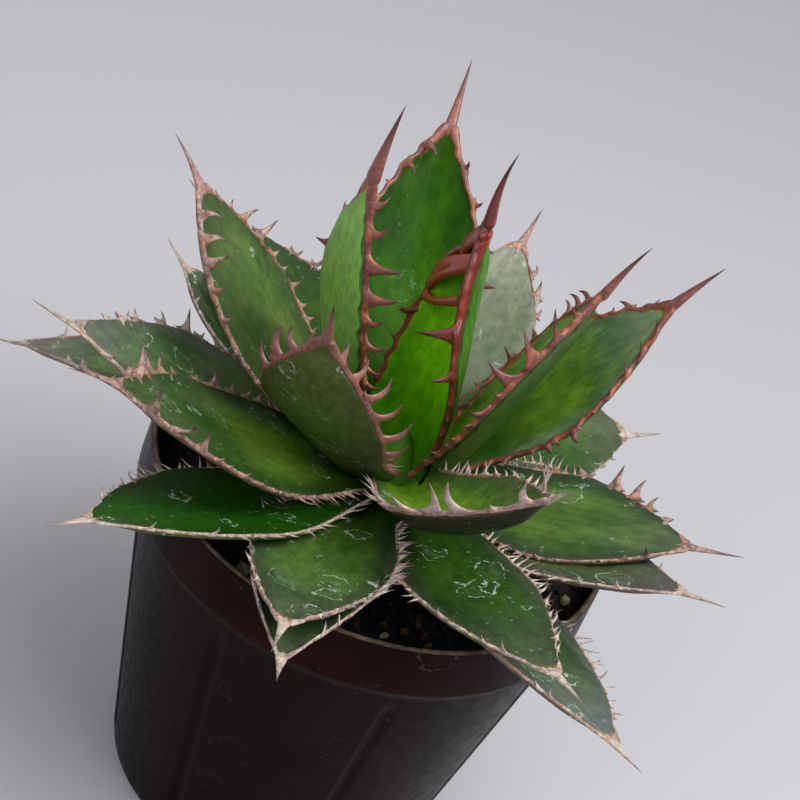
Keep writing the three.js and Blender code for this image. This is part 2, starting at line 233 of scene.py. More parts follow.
def evened(marks, edges, rounds=2):
    """The marks of a mesh's vertices, averaged with their neighbours' a few times."""
    for _ in range(rounds):
        total = marks.copy()
        count = np.ones((len(marks), 1), np.float32)
        for a, b in ((0, 1), (1, 0)):
            np.add.at(total, edges[:, a], marks[edges[:, b]])
            np.add.at(count, edges[:, a], 1)
        marks = total / count
    return marks


def combine(target, operation, others):
    """Joins other objects to target or takes them off it, in one boolean."""
    holder = bpy.data.collections.new("operands")
    bpy.context.scene.collection.children.link(holder)
    for other in others:
        holder.objects.link(other)
    cut = target.modifiers.new(operation, "BOOLEAN")
    cut.operation = operation
    cut.operand_type = "COLLECTION"
    cut.collection = holder
    cut.solver = "MANIFOLD"
    shape = target.evaluated_get(bpy.context.evaluated_depsgraph_get())
    mesh = bpy.data.meshes.new_from_object(shape)
    target.modifiers.remove(cut)
    target.data = mesh
    for other in others:
        holder.objects.unlink(other)
    bpy.data.collections.remove(holder)


def carve(target, joined, removed):
    """Joins some objects to target and removes others, and keeps the largest piece.

    The marks of each vertex come from the nearest vertex of the meshes that went in.
    """
    sources = [target, *joined]
    labels = [a.name for a in target.data.attributes if a.data_type == "FLOAT_VECTOR"]
    labels.remove("position")
    tree = KDTree(sum(len(s.data.vertices) for s in sources))
    values = {label: [] for label in labels}
    count = 0
    for source in sources:
        for vert in source.data.vertices:
            tree.insert(vert.co, count)
            count += 1
        for label in labels:
            flat = np.empty(len(source.data.vertices) * 3, np.float32)
            source.data.attributes[label].data.foreach_get("vector", flat)
            values[label].append(flat.reshape(-1, 3))
    tree.balance()
    for operation, others in (("UNION", joined), ("DIFFERENCE", removed)):
        if others:
            combine(target, operation, others)
    mesh = target.data
    biggest_island(mesh)
    nearest = [tree.find(vert.co)[1] for vert in mesh.vertices]
    edges = np.array([edge.vertices[:] for edge in mesh.edges])
    for label in labels:
        if label in mesh.attributes:
            mesh.attributes.remove(mesh.attributes[label])
        layer = mesh.attributes.new(label, "FLOAT_VECTOR", "POINT")
        marks = np.concatenate(values[label])[nearest]
        if joined:
            marks = evened(marks, edges)
        layer.data.foreach_set("vector", marks.ravel())
    for source in joined:
        bpy.data.objects.remove(source)


# Leaves

class Leaf:
    """One leaf: its midrib, the directions along it, and its folded face."""

    SAMPLES = np.linspace(-0.15, 1.1, 251)

    def __init__(self, index, plan):
        (self.heading, self.rise, self.curl, self.turn, self.length, self.width,
         self.fold, self.roll, self.spine, self.lift) = plan
        self.number = index + 1
        self.label = f"leaf_{self.number:02d}"
        self.age = index / (len(LEAF_PLAN) - 1)
        self.chance = random.Random(LEAF_SEED + index)
        root = direction(self.heading, 0) * lerp(*ROOT_RADII, self.age ** RADIUS_CURVE)
        root[2] = lerp(*ROOT_HEIGHTS, self.age ** HEIGHT_CURVE)
        u = self.SAMPLES
        along = direction(self.heading + self.turn * u, self.rise + self.curl * u)
        path = walked(along, u, self.length)
        start = np.array([np.interp(0, u, path[:, k]) for k in range(3)])
        level = direction(self.heading + self.turn * u + 90, 0)
        upright = np.cross(along, level)
        roll = math.radians(self.roll)
        side = level * math.cos(roll) + upright * math.sin(roll)
        self.tables = {
            "centre": path - start + root,
            "along": along,
            "side": side,
            "up": np.cross(along, side),
        }

    @property
    def stage(self):
        if self.number <= YOUNG_LEAVES:
            return "young"
        return "middle" if self.number <= MIDDLE_LEAVES else "old"

    def at(self, what, u):
        table = self.tables[what]
        found = np.stack([np.interp(u, self.SAMPLES, table[:, k]) for k in range(3)], -1)
        return found if what == "centre" else unit(found)

    def half(self, u):
        u = np.asarray(u, float)
        neck = lerp(WIDE_NECKS.get(self.number, NECK_SHARE), 1, smoothstep(u, 0, BELLY_AT))
        past = np.clip((u - BELLY_AT) / (1 - BELLY_AT), 0, 1)
        tip = lerp(1, TIP_SHARE, past ** TIP_ROUNDNESS)
        return self.width / 2 * np.where(u < BELLY_AT, neck, tip)

    def fold_at(self, u):
        return np.radians(self.fold + ROOT_CUP * np.clip(1 - np.asarray(u) / BELLY_AT, 0, None) ** 2)

    def face(self, u, x, depth=0.0, raised=0.0):
        """Points of the upper face, x across the leaf, depth under it, raised above it."""
        half, fold = self.half(u), self.fold_at(u)
        share = np.minimum(np.abs(x) / half, FOLD_LIMIT)
        lift = half * np.sin(fold) * share ** FOLD_CURVE
        if self.number in TIP_CURLS:
            curled = smoothstep(u, 0.45, 0.75) * (1 - smoothstep(u, 0.95, 1.02))
            lift = lift + TIP_CURLS[self.number] * curled * np.clip(x / half, 0, 1) ** 2
        return (self.at("centre", u)
                + self.at("side", u) * (x * np.cos(fold))[..., None]
                + self.at("up", u) * (lift - depth + raised)[..., None])

    def outward(self, u, sign):
        """The direction across the leaf's face at its edge."""
        fold = self.fold_at(u)
        flat = self.at("side", u) * np.cos(fold)[..., None] * sign
        return unit(flat + self.at("up", u) * (FOLD_CURVE * np.sin(fold))[..., None])


# Mesh steps, and where blades and edges begin and end along a leaf
BLADE_ROWS = 96
BLADE_COLUMNS = 29
BLADE_STARTS = {1: -0.08}
BLADE_END = 0.985
ROOM_ROWS = 40
ROOM_COLUMNS = 13
ROOM_MARGIN = 0.1
EDGE_STARTS = {1: 0.12}
HORN_ROWS = 180
HORN_SIDES = 10
TOOTH_RINGS = 12
TOOTH_SIDES = 8
LOOP_RINGS = 13
LOOP_SIDES = 10
SPINE_RINGS = 30
SPINE_SIDES = 14

# Width of the horny edge between its teeth, how far its outline draws in there, and how
# uneven it is
BANDS = {"young": 1.5, "middle": 0.45, "old": 0.34}
SCALLOPS = {"young": 1.0, "middle": 0.65, "old": 0.6}
ROUGH_EDGE = {"young": 0.1, "middle": 0.35, "old": 0.6}
WIDE_BANDS = {2: 1.9, 4: 2.1, 5: 1.6, 6: 1.5}
TIP_FLARE = 0.55

# Edges that differ: widths at places along the leaf, by leaf; and by leaf and side, how far
# the outline draws in near its tip, and how thick the strand of horn is there
WIDENING_BANDS = {1: ((0.4, 0.62, 0.78, 0.92), (1.4, 2.0, 2.8, 6.0))}
NEAR_INSETS = {(1, -1): 1.3}
STRANDS = {(1, -1): 1.1, (1, 1): 1.4}

# Size of the end spine, where it is broader than the leaf's age makes it
BROAD_SPINES = {1: 2.0, 2: 1.75, 4: 1.6, 5: 1.4}
SPINE_START = 3.2

# The teeth that can be told apart, by leaf and side: place along the leaf, length, lean
# towards the leaf's tip, lift towards its face, how far the tooth hooks, and where it is
# needed how far it curls up, its root and its thickness
TEETH = {
    (1, -1): ((0.51, 5, 0, 50, 30), (0.65, 8, -10, 70, 0)),
    (1, 1): ((0.41, 5.5, -60, 95, 150),),
    (2, -1): ((0.58, 3, -55, -20, 0), (0.69, 4, -30, -25, 0), (0.84, 3, 0, 15, 60)),
    (2, 1): ((0.46, 4, 15, 30, 40), (0.52, 4.5, 15, 30, 40), (0.59, 5, 15, 35, 60), (0.66, 5, 15, 25, 60),
        (0.72, 7, 10, 35, 15), (0.80, 7.5, 10, 30, 10), (0.88, 5.5, 25, 20, 70), (0.94, 5, 50, 35, 110)),
    (3, -1): ((0.50, 4, -5, 5, 10), (0.57, 3, -15, 30, 10), (0.64, 4.5, -40, 10, 20),
        (0.76, 3, 0, 25, 60), (0.87, 3, 30, 40, 60)),
    (3, 1): ((0.83, 5.5, 20, 120, 60, 90), (0.91, 5.5, 20, 120, 60, 90)),
    (4, -1): ((0.45, 3, 10, 20, 30), (0.52, 5, 10, 20, 50), (0.60, 2.5, 5, 25, 30),
        (0.66, 7.5, 15, 50, 40), (0.75, 7.5, 35, 45, 40), (0.84, 5, 20, 25, 30), (0.92, 4, 0, 30, 50)),
    (4, 1): ((0.26, 2.5, -15, 5, 0), (0.39, 4, 20, 45, 20), (0.52, 3, 0, 30, 20), (0.64, 4, -10, 15, 30),
        (0.72, 4, -20, 20, -70), (0.80, 4.5, -50, 30, -70), (0.88, 4.5, -60, 30, -70)),
    (5, -1): ((0.36, 1.8, 10, 0, 0), (0.42, 2.8, 10, -5, 0), (0.45, 2.3, 15, -5, 0), (0.53, 4, 5, -5, 60),
        (0.61, 1.8, 20, 20, 40), (0.69, 2.4, 40, 50, 40), (0.77, 3.2, 50, 60, 50),
        (0.84, 4.2, 45, 50, 60), (0.90, 5.2, 45, 40, 60)),
    (5, 1): ((0.84, 4, -55, 5, -40), (0.92, 3.5, 0, -30, 40)),
    (6, -1): ((0.69, 5.5, 30, 35, 40), (0.79, 7.5, 55, 35, 60), (0.88, 6, 50, 25, 70),
        (0.94, 4, 70, 10, 50)),
    (6, 1): ((0.33, 4.5, 45, 25, 30), (0.40, 6, 40, 30, 40), (0.53, 7, 25, 40, 60),
        (0.66, 6.5, 20, 35, 70), (0.75, 7, 20, 45, 90), (0.84, 5, 30, 50, 60), (0.92, 4, 40, 50, 40)),
    (7, -1): ((0.38, 3, -20, 25, 20), (0.43, 3, -10, 20, 30), (0.51, 3.5, -20, 25, 30),
        (0.58, 2.5, -20, 25, 30), (0.65, 3.5, -25, 15, 30), (0.74, 6, -15, 30, 30),
        (0.82, 4.8, -30, 20, -30), (0.88, 2.6, -5, 0, 0), (0.93, 2.8, 10, -30, 40)),
    (7, 1): ((0.66, 3.0, 0, 70, 30), (0.74, 4.2, -15, 75, 20), (0.81, 5.5, -30, 105, -30),
        (0.87, 5.5, 10, 125, 60, 80), (0.93, 5, 10, 125, 60, 80)),
    (8, -1): ((0.46, 7, -60, 20, 20), (0.58, 6.5, 5, 15, 10), (0.67, 7, 25, 35, -50),
        (0.76, 8, 20, 25, 50), (0.86, 2, 10, 10, 0), (0.95, 6.5, 25, 15, 50)),
    (8, 1): ((0.70, 2, 0, 0, 0), (0.78, 2.5, 0, 0, 30), (0.85, 8, 30, 10, 20, 25, 2.6, 0.9),
        (0.88, 8, 40, 25, 20, 25, 2.4, 0.9), (0.91, 7.5, 45, 35, 20, 25, 2.4, 0.9)),
    (9, -1): ((0.60, 2, 20, 20, 0), (0.71, 2.5, 60, 15, 30), (0.79, 4.2, 65, 40, 20),
        (0.89, 3.8, 60, 0, 90)),
    (9, 1): ((0.86, 2.5, -40, 20, -60), (0.75, 2.5, 0, 20, 30)),
    (10, -1): ((0.29, 3.3, -30, 35, 0), (0.33, 3.3, -40, 25, 10), (0.38, 3.3, -25, 25, 20),
        (0.44, 4, -10, 35, 10), (0.52, 2.2, -30, 20, 30), (0.61, 2.6, -10, 10, -20),
        (0.68, 4.4, -25, 25, -20), (0.74, 5.8, -25, 20, -20), (0.80, 6.8, -30, 30, 20),
        (0.86, 6.5, -60, 35, 60), (0.91, 4, -85, 30, -50)),
    (10, 1): ((0.77, 4.8, 50, 60, 20), (0.86, 6.4, -20, 40, 110), (0.91, 7.8, 45, 50, 20),
        (0.97, 3, 10, 35, 0)),
    (11, -1): ((0.70, 3.8, -20, 20, 80), (0.78, 3.8, -30, -10, 80), (0.88, 2.5, 0, 10, 60)),
    (12, -1): ((0.72, 2, 10, 40, 0), (0.80, 2.6, 20, 70, 20), (0.87, 3.8, -35, 65, -80)),
    (12, 1): ((0.52, 4.5, -50, 20, 20), (0.64, 5.4, -5, 40, 30), (0.73, 5.2, 0, 30, 50),
        (0.80, 4.2, -15, 10, 50), (0.87, 5, -10, -20, 120)),
    (14, -1): ((0.50, 3, -35, 0, 20), (0.55, 5.5, -10, 20, 20), (0.64, 4.6, -20, 0, 60),
        (0.74, 3.4, -25, 0, 20), (0.81, 3.6, -60, 20, 60), (0.86, 2.2, 50, 10, 20)),
    (14, 1): ((0.85, 2.5, -25, 35, 20), (0.92, 3.2, -25, 35, 50)),
    (20, 1): ((0.60, 3.2, -60, 40, -30), (0.69, 3.4, -15, 65, 40), (0.74, 2.5, -15, 65, 40)),
}

# Loops of horn between a leaf's two edges: near end, far end, width, sag
LOOPS = {
    1: ((0.99, 0.90, 2.2, 0), (0.97, 0.81, 2.2, 0), (0.865, 0.62, 1.6, -1.2), (0.86, 0.55, 1.1, 0),
        (0.755, 0.50, 1.0, 1.4)),
}


def tooth(place, length, lean, lift, hook, curl=25, root=None, thick=None):
    """One tooth. Its root and thickness follow its length where they are not given."""
    return {"u": place, "length": length, "lean": lean, "hook": hook, "lift": lift - curl / 2,
            "curl": curl, "root": root or 2.0 + 0.62 * length, "thick": thick or 0.8 + 0.07 * length}


def young_hook(roll, at, hook):
    return tooth(at, roll.uniform(1.6, 3.0), roll.uniform(-25, 10), roll.uniform(5, 40), hook * 0.6)


def bristle(roll, at, _):
    return tooth(at, roll.uniform(2.4, 4.8), roll.uniform(-30, 20), roll.uniform(-5, 30),
                 roll.uniform(-40, 40), roll.uniform(-20, 40), roll.uniform(1.3, 2.0), 0.6)


def small_hook(roll, at, hook):
    size = roll.uniform(1.5, 3.4)
    return tooth(at, size, roll.uniform(-45, 10) - hook / 2, roll.uniform(10, 70), 1.4 * hook,
                 roll.uniform(10, 60), 1.2 + 0.55 * size, 0.65)


# Room between teeth of each kind, and the angles that a tooth hooks through
TOOTH_GAPS = {young_hook: (3.6, 6.0), bristle: (1.5, 2.5), small_hook: (2.6, 5.5)}
HOOKS = (30, 95)
SEEN_GROWTH = 1.12


def tooth_row(leaf, sign):
    """The teeth of one edge: those seen, and a seeded rule where none is.

    Young leaves have hooks all along. Older ones have rows of thin bristles in their lower
    part, and small hooks above.
    """
    roll = leaf.chance
    seen = TEETH.get((leaf.number, sign), ())
    row = [tooth(place, SEEN_GROWTH * length, lean - hook / 2, lift, hook, *more)
           for place, length, lean, lift, hook, *more in seen]
    end = min((place for place, *_ in seen), default=0.95) - 3.5 / leaf.length
    at = roll.uniform(0.12, 0.16)
    fine_end = lerp(0.3, 0.66, min(1, (leaf.age - 0.2) * 2))
    while at < end:
        hook = roll.uniform(*HOOKS) * roll.choice((1, 1, -1))
        if leaf.stage == "young":
            kind = young_hook
        else:
            kind = bristle if at < fine_end else small_hook
        row.append(kind(roll, at, hook))
        at += roll.uniform(*TOOTH_GAPS[kind]) / leaf.length
    return row


def unevenness(leaf, u, pace, row, sign):
    """Smooth chance along an edge, with about pace swings to a millimetre."""
    values = [noise.noise(Vector((k * leaf.length * pace, leaf.number * row, sign))) for k in u.ravel()]
    return np.array(values).reshape(u.shape)


def edge_shape(leaf, u, sign):
    """The horny edge's width, and the distance of its outline inside the leaf's own."""
    u = np.asarray(u, float)
    bump = np.zeros_like(u)
    for item in leaf.teeth[sign]:
        reach = 0.28 * item["root"] + 0.35
        size = min(1, item["length"] / 4)
        bump = np.maximum(bump, size * np.exp(-((u - item["u"]) * leaf.length / reach) ** 2))
    wander = unevenness(leaf, u, 0.35, 3, sign)
    if leaf.number in WIDENING_BANDS:
        width = np.interp(u, *WIDENING_BANDS[leaf.number]) * (1 + 0.2 * wander)
    else:
        rough = ROUGH_EDGE[leaf.stage] * unevenness(leaf, u, 1.1, 5, sign)
        band = WIDE_BANDS.get(leaf.number, BANDS[leaf.stage])
        width = band * (0.8 + 0.35 * wander + rough + 0.6 * smoothstep(u, 0.8, 0.97))
    width = width + 0.75 * bump
    width = lerp(width, 1.12 * (leaf.half(u) + TIP_FLARE), smoothstep(u, 0.94, 1))
    inset = SCALLOPS[leaf.stage] * (1 - bump) * (1 - smoothstep(u, 0.9, 1)) * (1 + 0.6 * wander)
    inset = inset - TIP_FLARE * smoothstep(u, 0.92, 1)
    near_inset = NEAR_INSETS.get((leaf.number, sign), 0)
    return width, inset + near_inset * np.exp(-((u - 0.7) / 0.15) ** 2)


def edge_points(leaf, u, sign):
    """Centre line of the horny edge."""
    width, inset = edge_shape(leaf, u, sign)
    return leaf.face(u, sign * (leaf.half(u) - inset - width / 2), 0.3)


def blade_depth(leaf, u, x):
    share = np.clip(np.abs(x) / leaf.half(u), 0, 1)
    middle = lerp(ROOT_THICKNESS, TIP_THICKNESS, u)
    return lerp(middle, RIM_THICKNESS, share ** 2) * lerp(1, TIP_TAPER, smoothstep(u, 0.84, 0.98))


def blade_relief(leaf, u, x, share):
    """Low forms of the face: the channel on the midrib and the waves near the edge."""
    channel = -0.4 * np.exp(-(x / 2.4) ** 2) * (1 - 0.6 * u)
    phase = leaf.number * 1.7
    wave = 0.25 * np.sin(u * 19 + phase + 2.0 * np.sign(x)) * np.abs(share) ** 3
    swell = 0.18 * np.sin(u * 9 + phase * 2) * np.cos(share * 4 + phase)
    dents = 0.0
    if leaf.stage == "young":
        dents = 0.16 * np.sin(u * 46 + phase) * np.exp(-((np.abs(share) - 0.72) / 0.16) ** 2)
    return channel + wave + swell * (1 - np.abs(share) ** 4) + dents


def blade_grid(leaf, rows, columns, reach, relief=True):
    """The closed shell of a blade; reach(u, sign) is its half width on either side."""
    line = np.linspace(BLADE_STARTS.get(leaf.number, 0), BLADE_END, rows)
    u = line[:, None] + np.zeros((1, columns))
    share = np.sin(np.linspace(-1, 1, columns) * math.pi / 2)[None, :] + np.zeros((rows, 1))
    x = share * np.where(share < 0, reach(line, -1)[:, None], reach(line, 1)[:, None])
    raised = blade_relief(leaf, u, x, share) if relief else np.zeros_like(u)
    upper = leaf.face(u, x, 0, raised)
    lower = leaf.face(u, x, blade_depth(leaf, u, x))
    points = np.concatenate([upper, lower[:, ::-1]], 1)
    around = 2 * columns
    faces = tube_faces(rows, around)
    for i in (0, rows - 1):
        for j in range(columns - 1):
            a = i * around + j
            c = i * around + around - 1 - j
            faces.append((a, a + 1, c - 1, c))
    shares = np.stack([share, u, np.ones_like(u)], -1)
    under = shares[:, ::-1].copy()
    under[..., 2] = 0
    place = np.stack([x, u * leaf.length, np.zeros_like(u)], -1)
    marks = {
        "share": np.concatenate([shares, under], 1).reshape(-1, 3),
        "place": np.concatenate([place, place[:, ::-1]], 1).reshape(-1, 3),
    }
    return points.reshape(-1, 3), faces, marks


def make_blade(leaf):
    def reach(u, sign):
        width, inset = edge_shape(leaf, u, sign)
        return leaf.half(u) - inset - 0.55 * width
    points, faces, marks = blade_grid(leaf, BLADE_ROWS, BLADE_COLUMNS, reach)
    return make_object(f"{leaf.label}_green", points, faces, marks)


def make_room(leaf):
    """The leaf's body with its edge, which cuts the older leaves that would run into it."""
    def reach(u, sign):
        return leaf.half(u) + ROOM_MARGIN
    points, faces, _ = blade_grid(leaf, ROOM_ROWS, ROOM_COLUMNS, reach, False)
    return make_object(f"{leaf.label}_room", points, faces)


def horn_marks(rings, u, across, out):
    """Marks for the horn's material: place along the leaf, across the edge, along a tooth."""
    values = np.stack(np.broadcast_arrays(u, across, out), -1)
    return {"horn": np.broadcast_to(values, rings.shape).reshape(-1, 3)}


def horn_object(leaf, name, rings, u, across, out):
    """A body of horn from its rings, with the marks that its material needs."""
    return make_object(f"{leaf.label}_{name}", *capped_tube(rings), horn_marks(rings, u, across, out))


def ring_path(middle, wide_way, thick_way, wide, thick, sides):
    """Oval rings along a path, of shape (rings, sides, 3)."""
    across, high = np.cos(turns(sides)), np.sin(turns(sides))
    return (middle[:, None]
            + wide_way[:, None] * (wide[:, None] * across)[..., None]
            + thick_way[:, None] * (thick[:, None] * high)[..., None])


def make_band(leaf, sign):
    """One horny edge, a rounded band that swells at each tooth."""
    u = np.linspace(EDGE_STARTS.get(leaf.number, 0), 1.0, HORN_ROWS)
    width, _ = edge_shape(leaf, u, sign)
    swell = 0.6 + 0.4 * np.minimum(width / BANDS[leaf.stage], 2.0)
    thick = lerp(0.72, 0.28, min(1, leaf.age * 1.6)) * swell
    thick = thick * lerp(1, 0.8, smoothstep(u, 0.92, 1))
    thick = thick * lerp(1, STRANDS.get((leaf.number, sign), 1), smoothstep(u, 0.5, 0.7))
    out = leaf.outward(u, sign)
    up = unit(np.cross(leaf.at("along", u), out) * sign)
    rings = ring_path(edge_points(leaf, u, sign), out, up, width / 2, thick, HORN_SIDES)
    return horn_object(leaf, "band", rings, u[:, None], np.cos(turns(HORN_SIDES)), 0.0)


def make_tooth(leaf, sign, item):
    """A curved flat horn that flares into the edge.

    lean and hook are its first direction and its bend towards the leaf tip, lift and curl
    the same towards the upper face, all in degrees.
    """
    step = 0.006
    ends = edge_points(leaf, np.array([item["u"] - step, item["u"], item["u"] + step]), sign)
    along = unit(ends[2] - ends[0])
    up = unit(np.cross(along, leaf.outward(np.array([item["u"]]), sign)[0]) * sign)
    out = np.cross(up, along) * sign
    t = np.linspace(0, 1, TOOTH_RINGS) ** 1.2
    bend = smoothstep(t, 0.1, 1)
    lean = np.radians(item["lean"] + item["hook"] * bend)
    lift = np.radians(item["lift"] + item["curl"] * t)
    flat = np.outer(np.cos(lean), out) + np.outer(np.sin(lean), along)
    path = flat * np.cos(lift)[:, None] + np.outer(np.sin(lift), up)
    middle = ends[1] - out * 0.1 + walked(path, t, item["length"])
    wide_way = np.outer(-np.sin(lean), out) + np.outer(np.cos(lean), along)
    thick_way = np.cross(path, wide_way)
    flare = 0.38 * (1 - t) ** 0.8 + 0.62 * np.exp(-t / 0.13)
    wide = np.maximum(item["root"] / 2 * flare, 0.06)
    thick = np.maximum(item["thick"] / 2 * (1 - t) ** 0.8, 0.045)
    rings = ring_path(middle, wide_way, thick_way, wide, thick, TOOTH_SIDES)
    return horn_object(leaf, "tooth", rings, item["u"], 0.4, t[:, None])


def make_loop(leaf, near, far, width, sag):
    """A web of horn from the near edge to the far one, bowed over the leaf's face."""
    start = edge_points(leaf, np.array([near]), -1)[0]
    end = edge_points(leaf, np.array([far]), 1)[0]
    between = np.array([(near + far) / 2])
    up = leaf.at("up", between)[0]
    down = -leaf.at("along", between)[0]
    t = np.linspace(0, 1, LOOP_RINGS)
    bow = 0.05 * np.linalg.norm(end - start)
    middle = start + np.outer(t, end - start) + np.outer(np.sin(t * math.pi), up * bow + down * sag)
    along = unit(np.gradient(middle, axis=0))
    wide_way = unit(np.cross(along, up))
    thick_way = np.cross(wide_way, along)
    ends = np.abs(2 * t - 1)
    wide = width * (1.0 + 0.6 * ends ** 2.5)
    rings = ring_path(middle, wide_way, thick_way, wide, 0.85 + 0.15 * ends, LOOP_SIDES)
    # across -1 gives the loops the bright warm colour of the band's inner side: painted light on loops that
    # lie in the near strand's shade
    return horn_object(leaf, "loop", rings, near, -1.0, 0.0)


def make_spine(leaf):
    """The end spine: broad where both edges run into it, grooved, and drawn out to a point."""
    t = np.linspace(0, 1, SPINE_RINGS) ** 1.3
    at_tip = np.array([1.0])
    tip, side, up, along = (leaf.at(what, at_tip)[0] for what in ("centre", "side", "up", "along"))
    path = direction(leaf.heading + leaf.turn, leaf.rise + leaf.curl + leaf.lift * t)
    middle = tip + walked(path, t, leaf.spine - 0.5) - up * 0.3
    middle = middle - along * (SPINE_START * (1 - t) ** 6)[:, None]
    size = SPINE_RADIUS * BROAD_SPINES.get(leaf.number, lerp(1.25, 0.72, min(1, leaf.age * 2)))
    rooted = smoothstep(t, -0.02, 0.12)
    flare = leaf.half(1) + TIP_FLARE - 0.2 - 0.68 * size
    wide = (max(flare, 0.2 * size) * (1 - t) ** 4 + 0.68 * size * (1 - t) ** 0.95) * rooted + 0.03
    thick = size * (0.2 * (1 - t) ** 3 + 0.46 * (1 - t) ** 0.95) * rooted + 0.03
    wide_way, thick_way = (np.tile(way, (SPINE_RINGS, 1)) for way in (side, up))
    rings = ring_path(middle, wide_way, thick_way, wide, thick, SPINE_SIDES)
    high = np.clip(np.sin(turns(SPINE_SIDES)), 0, 1)
    groove = 0.35 * high ** 5 * ((1 - t) ** 0.7 * thick)[:, None]
    rings -= up * groove[..., None]
    return horn_object(leaf, "spine", rings, 1.0, 0.3, 0.15 + 0.85 * t[:, None])


def make_horn(leaf):
    """Both edges, their teeth and the end spine of a leaf, to be joined in one body."""
    horn = make_band(leaf, -1)
    extras = [make_band(leaf, 1), make_spine(leaf)]
    for sign in (-1, 1):
        extras += [make_tooth(leaf, sign, item) for item in leaf.teeth[sign]]
    extras += [make_loop(leaf, *loop) for loop in LOOPS.get(leaf.number, ())]
    horn.name = horn.data.name = f"{leaf.label}_horn"
    return horn, extras


# Materials

def add(tree, kind, inputs=None, **settings):
    """A shader node; each input is a plain value or the Value that feeds it."""
    made = tree.nodes.new("ShaderNode" + kind)
    for name, value in settings.items():
        setattr(made, name, value)
    for key, value in (inputs or {}).items():
        if isinstance(value, Value):
            tree.links.new(value.socket, made.inputs[key])
        else:
            made.inputs[key].default_value = value
    return made


class Value:
    """An output of a shader node. Arithmetic with it adds Math nodes to its tree."""

    def __init__(self, socket):
        self.socket = socket
        self.tree = socket.id_data

    def math(self, operation, other=0.0):
        return result(add(self.tree, "Math", {0: self, 1: other, 2: 0.0}, operation=operation))

    def __add__(self, other):
        return self.math("ADD", other)

    def __sub__(self, other):
        return self.math("SUBTRACT", other)

    def __mul__(self, other):
        return self.math("MULTIPLY", other)


def result(node, key=0):
    return Value(node.outputs[key])


def larger(a, b):
    return a.math("MAXIMUM", b)


def fade(value, low, high, to_low=0.0, to_high=1.0):
    """value from low to high becomes to_low to to_high, smoothly."""
    inputs = {0: value, 1: low, 2: high, 3: to_low, 4: to_high}
    return result(add(value.tree, "MapRange", inputs, interpolation_type="SMOOTHSTEP"))


def mix(share, a, b, blend="MIX"):
    tree = next(item.tree for item in (share, a, b) if isinstance(item, Value))
    return result(add(tree, "Mix", {0: share, 6: a, 7: b}, data_type="RGBA", blend_type=blend), 2)


def noise_node(vector, scale, detail, rough):
    inputs = {"Vector": vector, "Scale": scale, "Detail": detail, "Roughness": rough}
    return add(vector.tree, "TexNoise", inputs)


def clouds(vector, scale, detail=2.0, rough=0.5):
    return result(noise_node(vector, scale, detail, rough))


def stretched(vector, scale, shift=(0, 0, 0)):
    return result(add(vector.tree, "Mapping", {"Vector": vector, "Location": shift, "Scale": scale}))


def grown(place, seed, row, scale, detail, rough=0.5):
    """Noise along a leaf, of its own on each leaf: scale is its waves across and along it."""
    return clouds(stretched(place, (*scale, 1), (seed, row, 0)), 1.0, detail, rough)


def split(vector):
    return [Value(item) for item in add(vector.tree, "SeparateXYZ", {0: vector}).outputs]


def mark(tree, name):
    """What make_object stored at each point under this name."""
    return result(add(tree, "Attribute", attribute_name=name), "Vector")


def object_place(tree, shift=(0, 0, 0)):
    """A piece's own coordinates, in millimetres."""
    return stretched(result(add(tree, "TexCoord"), "Object"), (1 / MM,) * 3, shift)


def new_material(name):
    material = bpy.data.materials.new(name)
    material.use_nodes = True
    tree = material.node_tree
    tree.nodes.clear()
    shader = add(tree, "BsdfPrincipled")
    output = add(tree, "OutputMaterial")
    tree.links.new(shader.outputs[0], output.inputs[0])
    return material, tree, shader


def wire(shader, color, rough, height, strength, depth):
    """Feeds a shader; strength and depth, in millimetres, are those of its bump."""
    tree = color.tree
    bump = add(tree, "Bump", {"Strength": strength, "Distance": depth * MM, "Height": height})
    tree.links.new(color.socket, shader.inputs["Base Color"])
    tree.links.new(rough.socket, shader.inputs["Roughness"])
    tree.links.new(bump.outputs[0], shader.inputs["Normal"])


def rgb(r, g, b):
    return (r, g, b, 1)


def drying_lines(place, spacing, seed, width, cover):
    """Thin wavy rings that drops leave where they dry, with a faint haze inside."""
    moved = stretched(place, (1, 1, 1), (seed, seed, 0))
    waves = result(noise_node(moved, 0.22, 3.0, 0.6), "Color")
    bent = add(place.tree, "VectorMath", {0: waves, 1: (9, 9, 0), 2: moved}, operation="MULTIPLY_ADD")
    cells = add(place.tree, "TexVoronoi", {"Vector": result(bent), "Scale": 1 / spacing})
    red, green, _ = split(result(cells, "Color"))
    inside = result(cells, "Distance") - fade(red, 0, 1, 0.08, 0.42)
    thin = fade(inside.math("ABSOLUTE"), 0.3 * width, width, 1, 0)
    haze = fade(inside, 0.0, -0.25, 0, 0.12)
    broken = clouds(stretched(place, (0.45,) * 3, (seed + 70, 0, 0)), 1.0, 3.0, 0.65)
    shown = fade(green, cover, cover + 0.02) * fade(broken, 0.42, 0.56, 0.06, 1)
    return larger(thin, haze) * shown


def specks(place, spacing, size, seed):
    """Small round spots, about one for each spacing squared."""
    moved = stretched(place, (1 / spacing,) * 3, (seed, seed, 0))
    cells = add(place.tree, "TexVoronoi", {"Vector": moved, "Scale": 1.0})
    radius = split(result(cells, "Color"))[0] * (size / spacing)
    return fade(result(cells, "Distance") - radius, 0, 0.03, 1, 0)


MARK_COLOR = rgb(0.34, 0.43, 0.33)
PATCH_COLOR = rgb(0.45, 0.17, 0.05)


